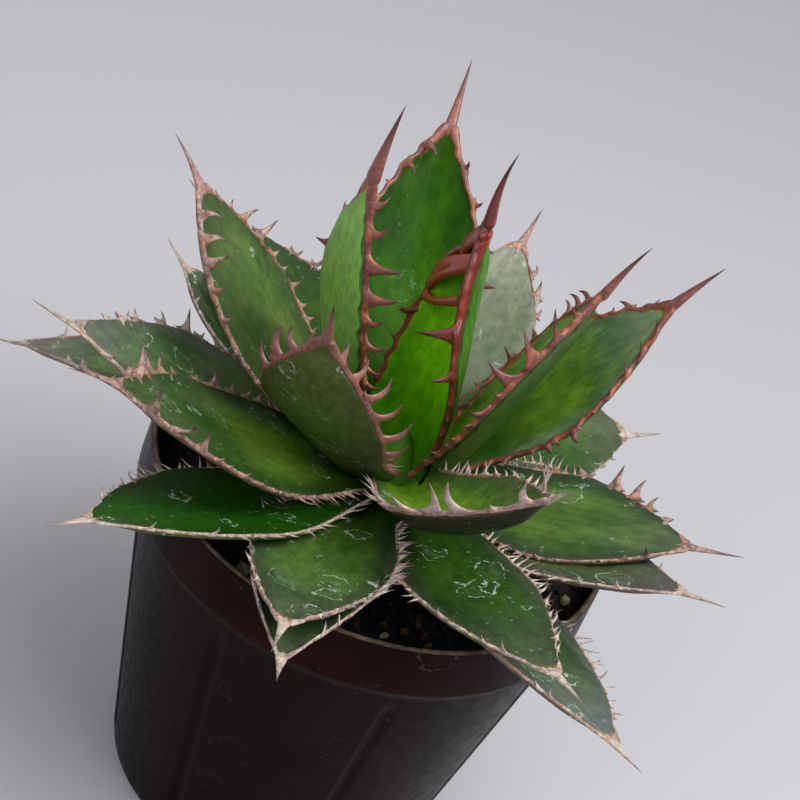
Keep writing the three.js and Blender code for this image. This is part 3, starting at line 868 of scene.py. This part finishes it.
def leaf_green(look, place, share, seed):
    """The green of a blade before water, dust and wear mark it, with painted light and shade in it: a
    painted glow near the base, painted shade along the edges and towards the base, and a tone at the rims
    and tip.
    """
    across, along, upper = share
    cloud = grown(place, seed, 0, (0.09, 0.05), 3.0, 0.55)
    streak = grown(place, seed, 5, (0.9, 0.05), 3.0, 0.6)
    tone = mix(fade(cloud, 0.35, 0.68), look["deep"], look["mid"])
    tone = mix(fade(streak, 0.42, 0.72) * 0.3, tone, look["mid"])
    # Painted glow: a brighter yellow-green near the base and the middle stands in for light shining through
    # the leaf
    glow = fade(along, look["glow_end"], 0.12) * fade(across, 1.0, 0.2)
    tone = mix(glow * look["glow"], tone, look["glow_color"])
    # Painted shade along the edges
    tone = mix(fade(across, 0.5, 0.95) * look["edge_shade"], tone, look["shade_color"])
    # A colour laid at the rims and towards the tip: partly real grey bloom, partly painted reflection on
    # the pale leaves 9, 20, 21 and 24, and painted shade where it is dark, as on leaf 6
    rim_and_tip_tone = larger(fade(across + cloud * 0.5, 0.85, 1.4), fade(along, 0.55, 1.0))
    tone = mix(rim_and_tip_tone * look["rim_and_tip_tone"], tone, look["rim_and_tip_color"])
    # Painted shade towards the base, under the younger leaves
    tone = mix(fade(along, look["shade_end"], 0.05, 0, look["shade"]), tone, look["shade_color"])
    tone = mix(fade(upper, 0.4, 0.6, look["under"], 0), tone, look["under_color"])
    return mix(1.0, tone, look["tint"], "MULTIPLY")


def leaf_marks(look, place, seed):
    """How much drying lines, spots and dust hide the green."""
    lines = drying_lines(place, 9.5, seed, 0.026, look["line_cover"]) * look["lines"]
    dots = specks(place, 3.1, 0.5, seed) * look["dots"]
    dust = grown(place, seed, 3, (0.5, 0.8), 4.0, 0.7)
    return larger(larger(lines, dots), fade(dust, 0.58, 0.8) * look["dust"])


def mottled(tone, place, seed):
    patches = grown(place, seed, 21, (0.5, 0.25), 4.0, 0.65)
    grey = fade(patches, 0.3, 0.7, 0.78, 1.22)
    shade = add(tone.tree, "CombineColor", {0: grey, 1: grey, 2: grey})
    return mix(1.0, tone, result(shade), "MULTIPLY")


def leaf_material(leaf):
    look = {**USUAL_LOOK, **LEAF_LOOKS[leaf.stage], **LEAF_CHANGES.get(leaf.number, {})}
    material, tree, shader = new_material(f"{leaf.label}_skin")
    seed = leaf.number * 13.0
    place = mark(tree, "place")
    side, along, upper = split(mark(tree, "share"))
    across = side.math("ABSOLUTE")
    marks = leaf_marks(look, place, seed)
    tone = mix(marks, leaf_green(look, place, (across, along, upper), seed), MARK_COLOR)
    tone = mix(fade(along, 0.95, 0.985) * look["patch"], tone, PATCH_COLOR)
    tone = mix(fade(across, 0.965, 0.995) * look["rim"], tone, look["border"])
    grain = grown(place, seed, 9, (2.2, 1.1), 2.0, 0.6)
    rough = grain * 0.16 + (look["rough"] - 0.08) + marks * 0.25
    ribs = grown(place, seed, 2, (1.6, 0.03), 2.0)
    wire(shader, mottled(tone, place, seed), rough, ribs * 0.5 + grain * 0.25, 0.35, 0.12)
    shader.inputs["Specular IOR Level"].default_value = look["shine"]
    return material


# Looks of the blades by stage. A share of each colour is laid over the one before it, in
# the order of leaf_green, and the tint multiplies the whole.
LEAF_LOOKS = {
    "young": dict(
        deep=rgb(0.014, 0.075, 0.002), mid=rgb(0.05, 0.165, 0.003), glow_end=0.85, glow=0.8,
        glow_color=rgb(0.11, 0.29, 0.003), rim_and_tip_tone=0.45, rim_and_tip_color=rgb(0.12, 0.23, 0.05), shade=0.2,
        under_color=rgb(0.09, 0.21, 0.025), lines=0.15, line_cover=0.62, dots=0.1, dust=0.08,
        # Young leaves: the dark green border along the blade's edge is painted shade where the blade meets
        # its horn
        rim=0.85, border=rgb(0.02, 0.055, 0.01), rough=0.42, edge_shade=0.1, shade_end=0.3,
        shade_color=rgb(0.01, 0.06, 0.001), shine=0.22),
    "middle": dict(
        deep=rgb(0.012, 0.055, 0.003), mid=rgb(0.04, 0.115, 0.01), glow_end=0.7, glow=0.6,
        glow_color=rgb(0.08, 0.23, 0.003), rim_and_tip_tone=0.5, rim_and_tip_color=rgb(0.045, 0.068, 0.03), shade=0.75,
        under_color=rgb(0.045, 0.08, 0.02), lines=0.7, line_cover=0.5, dots=0.22, dust=0.2,
        rim=0.18, border=rgb(0.3, 0.12, 0.04), rough=0.44, edge_shade=0.4, shade_end=0.45,
        shade_color=rgb(0.004, 0.03, 0.001), shine=0.28),
    "old": dict(
        deep=rgb(0.008, 0.04, 0.003), mid=rgb(0.034, 0.09, 0.01), glow_end=0.6, glow=0.45,
        glow_color=rgb(0.055, 0.165, 0.002), rim_and_tip_tone=0.5, rim_and_tip_color=rgb(0.05, 0.06, 0.045), shade=0.85,
        under_color=rgb(0.04, 0.06, 0.02), lines=0.85, line_cover=0.35, dots=0.22, dust=0.25,
        rim=0.2, border=rgb(0.3, 0.15, 0.07), rough=0.46, edge_shade=0.6, shade_end=0.45,
        shade_color=rgb(0.004, 0.024, 0.001), shine=0.3),
}
USUAL_LOOK = {"tint": rgb(1.4, 1.2, 1.4), "under": 0.5, "patch": 0.0}

# What is different on single leaves, by their number
LEAF_CHANGES = {
    # Leaf 1: its underside, seen as a strip beside the fold, is painted dark, painted shade
    1: dict(tint=rgb(4.0, 3.5, 1.0), rim_and_tip_tone=0.15, shine=0.12, shade=0.75, shade_end=0.5, under=0.8,
        under_color=rgb(0.009, 0.028, 0.016)),
    2: dict(tint=rgb(1.55, 1.65, 1.4), under=0.8, under_color=rgb(0.13, 0.24, 0.055)),
    # Leaf 3: the low tint darkens the whole leaf, painted shade
    3: dict(tint=rgb(0.32, 0.43, 0.03), rim_and_tip_tone=0.2, shine=0.05),
    4: dict(tint=rgb(2.1, 1.8, 1.2), under=0.85, under_color=rgb(0.016, 0.046, 0.012)),
    5: dict(tint=rgb(2.4, 1.5, 5.5), glow=0.12, shade=0.8, shade_end=0.5, edge_shade=0.6),
    # Leaf 6: a dark colour at its rims and tip and shade down most of its length, painted shade on a leaf
    # that faces away from the light
    6: dict(tint=rgb(2.5, 1.75, 2.3), rim_and_tip_tone=0.9, rim_and_tip_color=rgb(0.008, 0.015, 0.002), glow=0.2,
        shine=0.12, dust=0.8, rim=0.0, shade=0.98, shade_end=0.85, shade_color=rgb(0.001, 0.016, 0.0)),
    7: dict(tint=rgb(1.9, 1.18, 2.45), rim_and_tip_tone=0.3, rim_and_tip_color=rgb(0.036, 0.062, 0.024), glow=0.45,
        glow_color=rgb(0.07, 0.19, 0.018), shade=0.25),
    # Leaf 8: its underside is painted nearly black, painted shade on the side that faces down
    8: dict(tint=rgb(2.9, 2.0, 2.9), shade=0.3, under=0.97, under_color=rgb(0.005, 0.008, 0.0018)),
    # Leaf 9: pale grey-green all over, painted reflection of the pale surroundings seen at a low angle
    9: dict(tint=rgb(1.45, 1.15, 1.55), rim_and_tip_tone=1.0, rim_and_tip_color=rgb(0.15, 0.2, 0.11), glow=0.0,
        mid=rgb(0.09, 0.14, 0.06), deep=rgb(0.065, 0.11, 0.042)),
    # Leaf 10: a strong painted glow in its middle, and painted shade over its lower half
    10: dict(tint=rgb(1.8, 1.3, 1.9), rim_and_tip_tone=0.3, rim_and_tip_color=rgb(0.028, 0.045, 0.022), shade=0.99,
        shade_end=0.58, glow=0.95, shine=0.12, shade_color=rgb(0.001, 0.02, 0.0),
        mid=rgb(0.03, 0.072, 0.012), glow_color=rgb(0.24, 0.62, 0.03), glow_end=0.62),
    12: dict(tint=rgb(1.8, 1.15, 2.2), edge_shade=0.85, glow=0.35, rim_and_tip_tone=0.4,
        rim_and_tip_color=rgb(0.035, 0.05, 0.03)),
    13: dict(tint=rgb(1.75, 1.35, 1.9), rim_and_tip_tone=0.5, rim_and_tip_color=rgb(0.04, 0.044, 0.03), patch=0.8),
    14: dict(tint=rgb(3.6, 2.3, 3.9), rim_and_tip_tone=0.8, rim_and_tip_color=rgb(0.03, 0.05, 0.026), glow=0.1),
    15: dict(tint=rgb(0.75, 0.8, 0.35), rim_and_tip_tone=0.5, rim_and_tip_color=rgb(0.1, 0.105, 0.17), patch=0.5),
    18: dict(tint=rgb(1.4, 1.3, 1.05), rim_and_tip_tone=0.8),
    19: dict(tint=rgb(0.65, 1.3, 0.08), rim_and_tip_tone=0.2, mid=rgb(0.014, 0.045, 0.004), shine=0.18,
        line_cover=0.12),
    20: dict(tint=rgb(3.2, 2.3, 3.0), rim_and_tip_tone=0.8, glow=0.15, edge_shade=0.75),
    21: dict(tint=rgb(1.55, 1.0, 1.75), rim_and_tip_tone=0.7),
    24: dict(tint=rgb(1.5, 1.2, 1.8), rim_and_tip_tone=0.8, rim_and_tip_color=rgb(0.075, 0.098, 0.068), patch=0.7),
}

# Looks of the horn by stage, and what is different on single leaves
HORN_LOOKS = {
    "young": dict(
        band=rgb(0.165, 0.044, 0.034), tooth=rgb(0.19, 0.058, 0.05),
        tip=rgb(0.035, 0.011, 0.011), warm=rgb(0.48, 0.15, 0.045), warmth=0.5, pale=rgb(0.4, 0.25, 0.22),
        peel=0.15, stain=0.35, rough=0.34),
    "middle": dict(
        band=rgb(0.22, 0.115, 0.088), tooth=rgb(0.28, 0.155, 0.13),
        tip=rgb(0.035, 0.018, 0.016), warm=rgb(0.48, 0.21, 0.08), warmth=0.4, pale=rgb(0.6, 0.5, 0.42),
        peel=0.35, stain=0.55, rough=0.48),
    "old": dict(
        band=rgb(0.3, 0.21, 0.16), tooth=rgb(0.4, 0.32, 0.27), tip=rgb(0.13, 0.09, 0.08),
        warm=rgb(0.48, 0.26, 0.12), warmth=0.4, pale=rgb(0.58, 0.51, 0.45), peel=0.7, stain=0.6,
        rough=0.58),
}
HORN_CHANGES = {
    1: dict(band=rgb(0.14, 0.02, 0.015), tooth=rgb(0.13, 0.026, 0.022), warm=rgb(0.42, 0.035, 0.02),
        warmth=0.3, peel=0.02, stain=0.15, rough=0.24),
    6: dict(band=rgb(0.18, 0.062, 0.052), tooth=rgb(0.23, 0.095, 0.082), tip=rgb(0.06, 0.022, 0.02),
        warmth=0.15, peel=0.1, stain=0.2, rough=0.36),
    8: dict(band=rgb(0.24, 0.14, 0.12), tooth=rgb(0.43, 0.33, 0.3), tip=rgb(0.18, 0.12, 0.11)),
    12: dict(tooth=rgb(0.23, 0.125, 0.105), tip=rgb(0.025, 0.014, 0.013)),
    19: dict(band=rgb(0.3, 0.22, 0.17), tooth=rgb(0.4, 0.31, 0.26)),
}


def horn_material(leaf):
    look = {**HORN_LOOKS[leaf.stage], **HORN_CHANGES.get(leaf.number, {})}
    material, tree, shader = new_material(f"{leaf.label}_horn_skin")
    place = object_place(tree, (leaf.number * 7.0, 0, 0))
    along, across, outward = split(mark(tree, "horn"))
    cloud = clouds(place, 0.22, 3.0, 0.6)
    flake = clouds(place, 0.8, 4.0, 0.7)
    stain = clouds(stretched(place, (1, 1, 1), (50, 0, 0)), 0.55, 3.0, 0.6)
    tone = mix(fade(outward, 0.0, 0.35), look["band"], look["tooth"])
    # The band's inner side takes the warm colour; on the loops it is painted light on horn in shade
    inner = fade(across, -0.1, -0.85) * fade(outward, 0.2, 0.0) * fade(along, 1.0, 0.94)
    patches = fade(cloud, 0.48, 0.62) * fade(outward, 0.2, 0.6, look["warmth"], 0)
    tone = mix(larger(inner * 0.9, patches), tone, look["warm"])
    tone = mix(fade(flake, 0.46, 0.6) * look["peel"], tone, look["pale"])
    tone = mix(fade(stain, 0.5, 0.62) * look["stain"], tone, look["tip"])
    tone = mix(fade(outward, 0.45, 0.95) * 0.85, tone, look["tip"])
    rough = flake * 0.2 + (look["rough"] - 0.1)
    wire(shader, tone, rough, flake + clouds(place, 2.6, 2.0) * 0.4, 0.5, 0.15)
    return material


# Build the leaves

leaves = [Leaf(index, plan) for index, plan in enumerate(LEAF_PLAN)]
for leaf in leaves:
    leaf.teeth = {sign: tooth_row(leaf, sign) for sign in (-1, 1)}


# Radius and height of the stem, from its root to the heart of the rosette
STEM_PROFILE = ((0.3, 68), (5.1, 66.4), (8.2, 80), (8.5, 84), (8.5, 97.5), (6.6, 101.5), (4.6, 104),
                (2.6, 107), (1.2, 108.6), (0.3, 109.6))
STEM_SIDES = 48


def make_stem():
    turn = turns(STEM_SIDES)
    rings = [circle(radius * (1 + 0.02 * np.sin(turn * 5 + height)), height, turn)
             for radius, height in STEM_PROFILE]
    return make_object("stem_fine", *capped_tube(np.array(rings)))


stem = make_stem()
rooms = [stem.copy()] + [make_room(leaf) for leaf in leaves[:-1]]
for leaf in leaves:
    inner = rooms[:leaf.number]
    green = make_blade(leaf)
    carve(green, [], inner)
    finish_piece(green, leaf_material(leaf), f"leaf_{leaf.stage}", f"{leaf.label}_blade")
    horn, extras = make_horn(leaf)
    carve(horn, extras, inner)
    finish_piece(horn, horn_material(leaf), f"horn_{leaf.stage}", f"{leaf.label}_edge")
for room in rooms:
    bpy.data.objects.remove(room)


# Stem, pot and soil

def stem_material():
    material, tree, shader = new_material("stem_skin")
    cloud = clouds(object_place(tree), 0.3, 3.0)
    # Bright yellow-green: painted light on a stem that sits in the rosette's shade, so it reads like the
    # lit leaf bases
    tone = mix(fade(cloud, 0.35, 0.65), rgb(0.07, 0.24, 0.004), rgb(0.12, 0.34, 0.008))
    wire(shader, tone, fade(cloud, 0, 1, 0.5, 0.7), cloud, 0.5, 0.3)
    return material


finish_piece(stem, stem_material(), "stem", "stem")


def arc(centre, radius, start, end, steps):
    turn = np.radians(np.linspace(start, end, steps))
    return [(centre[0] + radius * math.cos(a), centre[1] + radius * math.sin(a)) for a in turn]


POT_SEGMENTS = 384
FOOT_ROUND = 1.2
LIP_ROUND = 0.75
FLOOR_RADII = (34, 30.4, 23.6, 16, 6, 0.02)
DRILL_SIDES = 32


def wall_radius(height):
    return lerp(FOOT_RADIUS, NECK_RADIUS, height / BODY_TOP)


def groove_cut(turn, radius, height):
    """Depth of the grooves round the pot's wall, which fade out near its ends."""
    spacing = 2 * math.pi / GROOVES["count"]
    angle = (turn - spacing / 2) % spacing
    off = np.minimum(angle, spacing - angle)
    half, end = GROOVES["width"] / 2, GROOVES["end"]
    across = smoothstep(np.abs(off) * radius, half + 0.25, half - 0.35)
    ends = smoothstep(height, end - 1, end + 1)
    ends *= smoothstep(height, BODY_TOP - end + 1, BODY_TOP - end - 1)
    return GROOVES["depth"] * across * ends


def make_pot():
    """The moulded pot: rounded foot and lip, a step under the collar, shallow grooves."""
    inner = RIM_RADIUS - POT_WALL
    foot = arc((FOOT_RADIUS - FOOT_ROUND, FOOT_ROUND), FOOT_ROUND, -90, -12, 5)
    body = [(wall_radius(h), h) for h in np.linspace(3, BODY_TOP, 40)]
    collar = [(NECK_RADIUS + 0.25, BODY_TOP + 0.15), (RIM_RADIUS - 0.3, BODY_TOP + 0.5),
              (RIM_RADIUS - 0.02, BODY_TOP + 0.9)]
    collar += [(RIM_RADIUS, h) for h in np.linspace(BODY_TOP + 1.6, POT_HEIGHT - 1.2, 6)]
    lip = arc((RIM_RADIUS - LIP_ROUND, POT_HEIGHT - LIP_ROUND), LIP_ROUND, 0, 180, 9)
    lip[-1] = (inner, POT_HEIGHT - LIP_ROUND)
    inside = [(inner, h) for h in np.linspace(POT_HEIGHT - 1.6, BODY_TOP + 1.6, 4)]
    inside += [(wall_radius(h) - POT_WALL, h) for h in np.linspace(BODY_TOP - 0.8, POT_FLOOR + 0.6, 8)]
    floor = [(r, POT_FLOOR) for r in (FOOT_RADIUS - 2.6, *FLOOR_RADII)]
    under = [(r, 0.0) for r in reversed(FLOOR_RADII)]
    turn = turns(POT_SEGMENTS)
    rings = [circle(r, h, turn) for r, h in foot]
    rings += [circle(r - groove_cut(turn, r, h), h, turn) for r, h in body]
    rings += [circle(r, h, turn) for r, h in collar + lip + inside + floor + under]
    return make_object("pot_shell", *turned_shell(np.array(rings)))


def drain_drill(k):
    heading = k / DRAINS["count"] * 2 * math.pi
    centre = DRAINS["ring"] * np.array([math.cos(heading), math.sin(heading), 0])
    rings = [centre + circle(DRAINS["radius"], h, turns(DRILL_SIDES)) for h in (-2, POT_FLOOR + 2)]
    return make_object("drill", *capped_tube(np.array(rings)))


def pot_material():
    material, tree, shader = new_material("pot_plastic")
    place = object_place(tree)
    height = split(place)[2]
    cloud = clouds(place, 0.05, 3.0)
    tone = mix(fade(cloud, 0.35, 0.7), rgb(0.005, 0.0012, 0.0009), rgb(0.013, 0.0034, 0.0024))
    lines = drying_lines(place, 12.0, 3.0, 0.04, 0.5) * 0.1
    dots = specks(place, 4.2, 0.6, 11.0) * 0.12
    dust = fade(clouds(place, 0.35, 5.0, 0.75), 0.56, 0.85) * 0.035
    grit = larger(larger(lines, dots), dust)
    tone = mix(grit, tone, rgb(0.36, 0.31, 0.27))
    # The wall below the collar is darkened towards near black: painted shade on the lower body, under the
    # collar and leaves
    tone = mix(fade(height, BODY_TOP - 1, BODY_TOP + 1, 0.7, 0), tone, rgb(0.0015, 0.0007, 0.0006))
    # A pale line along the lip top: partly wear and dust, partly a painted highlight
    wear_and_highlight = fade(clouds(place, 0.25, 4.0, 0.7), 0.36, 0.66, 0.35, 0.95)
    lip = fade(height, POT_HEIGHT - 0.6, POT_HEIGHT - 0.1) * wear_and_highlight
    tone = mix(lip, tone, rgb(0.24, 0.18, 0.13))
    rough = fade(clouds(place, 0.4, 4.0), 0.3, 0.7, 0.3, 0.42) + larger(grit, lip) * 0.4
    ripple = clouds(stretched(place, (0.03, 0.03, 0.4)), 1.0, 2.0)
    wire(shader, tone, rough, ripple + clouds(place, 3.0, 2.0) * 0.3, 0.15, 0.1)
    shader.inputs["Specular IOR Level"].default_value = 0.07
    shader.inputs["Specular Tint"].default_value = rgb(1.0, 0.55, 0.45)
    return material


pot = make_pot()
drills = [drain_drill(k) for k in range(DRAINS["count"])]
combine(pot, "DIFFERENCE", drills)
for item in drills:
    bpy.data.objects.remove(item)
finish_piece(pot, pot_material(), "pot", "pot")
pot.data.set_sharp_from_angle(angle=math.radians(50))

SOIL_SEGMENTS = 144
SOIL_HOLE = 8.9
INNER_RADIUS = RIM_RADIUS - POT_WALL - 0.25


def soil_height(x, y):
    """The lumpy top of the soil, in millimetres above the pot's underside."""
    low = noise.noise(Vector((x * 0.07, y * 0.07, 3)))
    high = noise.noise(Vector((x * 0.35, y * 0.35, 9)))
    return SOIL_TOP + 0.7 * low + 0.45 * high - 0.5 * smoothstep(math.hypot(x, y), 46, 53)


def make_soil():
    """The soil, with a hole for the stem, from its lumpy top down to the pot's floor."""
    turn = turns(SOIL_SEGMENTS)
    rings = []
    for radius in np.linspace(SOIL_HOLE, INNER_RADIUS, 40):
        flat = [(radius * math.cos(a), radius * math.sin(a)) for a in turn]
        rings.append(np.array([(x, y, soil_height(x, y)) for x, y in flat]))
    bottom = POT_FLOOR + 0.3
    rings.append(circle(NECK_RADIUS - POT_WALL - 0.35, BODY_TOP - 1.2, turn))
    rings.append(circle(FOOT_RADIUS - POT_WALL - 0.3, bottom, turn))
    rings.append(circle(SOIL_HOLE, bottom, turn))
    return make_object("soil_body", *turned_shell(np.array(rings)))


def soil_material():
    material, tree, shader = new_material("soil_mix")
    cloud = clouds(object_place(tree), 0.5, 5.0, 0.7)
    # Near black: a dark mix, darkened further as painted shade under the rosette
    tone = mix(fade(cloud, 0.35, 0.7), rgb(0.003, 0.0018, 0.0012), rgb(0.024, 0.013, 0.008))
    wire(shader, tone, fade(cloud, 0, 1, 0.85, 1.0), cloud, 0.9, 0.6)
    return material


# Kinds of grain: their number, least and greatest size, and the tone that marks them
GRAINS = {"dark": (1100, 0.7, 1.5, 0.1), "brown": (260, 0.7, 1.6, 0.45), "pale": (34, 1.2, 2.6, 0.85)}
GRAIN_SEED = 77


def make_grains():
    """Loose bits of bark and pumice on the soil, each a small lumpy stone."""
    chance = random.Random(GRAIN_SEED)
    ball = bmesh.new()
    bmesh.ops.create_icosphere(ball, subdivisions=1, radius=1)
    shape = np.array([v.co for v in ball.verts])
    ball.verts.index_update()
    triangles = [tuple(v.index for v in f.verts) for f in ball.faces]
    ball.free()
    points, faces, tones = [], [], []
    for count, small, large, tone in GRAINS.values():
        for _ in range(count):
            size = chance.uniform(small, large)
            radius = math.sqrt(chance.uniform(10.5 ** 2, (INNER_RADIUS - size - 0.6) ** 2))
            turn = chance.uniform(0, 2 * math.pi)
            x, y = radius * math.cos(turn), radius * math.sin(turn)
            spin = np.array(Matrix.Rotation(chance.uniform(0, 6.3), 3, Vector((
                chance.uniform(-1, 1), chance.uniform(-1, 1), chance.uniform(0.2, 1)))))
            lump = 1 + 0.22 * np.array([chance.uniform(-1, 1) for _ in shape])[:, None]
            stretch = np.array([chance.uniform(0.7, 1.2), chance.uniform(0.6, 1), chance.uniform(0.5, 0.9)])
            stone = (shape * lump * stretch * size) @ spin.T
            stone += (x, y, soil_height(x, y) + size * 0.25)
            first = len(points) * len(shape)
            points.append(stone)
            faces += [tuple(first + k for k in triangle) for triangle in triangles]
            tones += [(tone, chance.random(), 0)] * len(shape)
    return make_object("soil_grains", np.concatenate(points), faces, {"grain": tones})


def grain_material():
    material, tree, shader = new_material("soil_grain")
    kind, chance, _ = split(mark(tree, "grain"))
    cloud = clouds(object_place(tree), 1.2, 4.0, 0.7)
    dark = mix(chance, rgb(0.004, 0.003, 0.002), rgb(0.018, 0.012, 0.008))
    brown = mix(chance, rgb(0.045, 0.018, 0.006), rgb(0.13, 0.06, 0.018))
    pale = mix(chance, rgb(0.42, 0.38, 0.18), rgb(0.56, 0.52, 0.36))
    tone = mix(fade(kind, 0.25, 0.3), dark, brown)
    tone = mix(fade(kind, 0.6, 0.65), tone, pale)
    tone = mix(fade(cloud, 0.4, 0.75, 0, 0.6), tone, rgb(0.012, 0.008, 0.005))
    wire(shader, tone, fade(cloud, 0, 1, 0.8, 1.0), cloud, 0.8, 0.3)
    return material


soil = make_soil()
finish_piece(soil, soil_material(), "soil", "soil")
grains = make_grains()
finish_piece(grains, grain_material(), "soil")

# Floor, light and camera

FLOOR_REACH = 3.0


def make_floor():
    mesh = bpy.data.meshes.new("floor")
    corners = ((-1, -1), (1, -1), (1, 1), (-1, 1))
    mesh.from_pydata([(x * FLOOR_REACH, y * FLOOR_REACH, 0) for x, y in corners], [], [(0, 1, 2, 3)])
    material, _, shader = new_material("floor_paper")
    shader.inputs["Base Color"].default_value = rgb(0.43, 0.425, 0.445)
    shader.inputs["Roughness"].default_value = 0.9
    mesh.materials.append(material)
    made = bpy.data.objects.new("floor", mesh)
    bpy.context.scene.collection.objects.link(made)
    return made


floor = make_floor()

# The camera's angles in degrees, and its distance and sideways and upward moves
CAMERA_FOV = 20
CAMERA_ELEVATION = 35
CAMERA_ROLL = 22.9
CAMERA_DISTANCE = 521
CAMERA_AIM = np.array([0, 0, POT_HEIGHT])
CAMERA_MOVE = (3.4, 18.2)


def make_camera():
    elevation, roll = math.radians(CAMERA_ELEVATION), math.radians(CAMERA_ROLL)
    back = np.array([0, -math.cos(elevation), math.sin(elevation)])
    level = np.array([1, 0, 0])
    upward = np.cross(back, level)
    right = level * math.cos(roll) + upward * math.sin(roll)
    top = -level * math.sin(roll) + upward * math.cos(roll)
    place = CAMERA_AIM + back * CAMERA_DISTANCE + right * CAMERA_MOVE[0] + top * CAMERA_MOVE[1]
    camera = bpy.data.objects.new("camera", bpy.data.cameras.new("camera"))
    bpy.context.scene.collection.objects.link(camera)
    rows = [(*row, at * MM) for *row, at in zip(right, top, back, place)]
    camera.matrix_world = Matrix(rows + [(0, 0, 0, 1)])
    camera.data.angle = math.radians(CAMERA_FOV)
    return camera


bpy.context.scene.camera = make_camera()


def softbox(name, heading, rise, distance, size, power):
    """A square area light that faces the plant, its distance and size in metres."""
    lamp = bpy.data.lights.new(name, "AREA")
    lamp.shape = "SQUARE"
    lamp.size = size
    lamp.energy = power
    made = bpy.data.objects.new(name, lamp)
    bpy.context.scene.collection.objects.link(made)
    way = Vector(direction(heading, rise))
    made.location = Vector((0, 0, POT_HEIGHT * MM)) + way * distance
    made.rotation_euler = way.to_track_quat("Z", "Y").to_euler()


softbox("key", 335, 64, 1.1, 1.0, 11.5)
softbox("front", 235, 32, 1.5, 1.0, 6.5)
softbox("pool", 350, 62, 0.5, 0.3, 1.1)

WORLD_HIGH = rgb(0.72, 0.72, 0.76)
WORLD_LOW = rgb(0.26, 0.26, 0.28)
WORLD_STRENGTH = 0.8


def make_world():
    """A plain grey studio, lighter above than below."""
    world = bpy.data.worlds.new("studio")
    world.use_nodes = True
    sky = world.node_tree
    height = split(result(add(sky, "TexCoord"), "Generated"))[2]
    glow = mix(fade(height, -0.1, 0.8), WORLD_LOW, WORLD_HIGH)
    background = sky.nodes["Background"]
    sky.links.new(glow.socket, background.inputs[0])
    background.inputs[1].default_value = WORLD_STRENGTH
    return world


bpy.context.scene.world = make_world()
bpy.context.scene.view_settings.view_transform = "Standard"
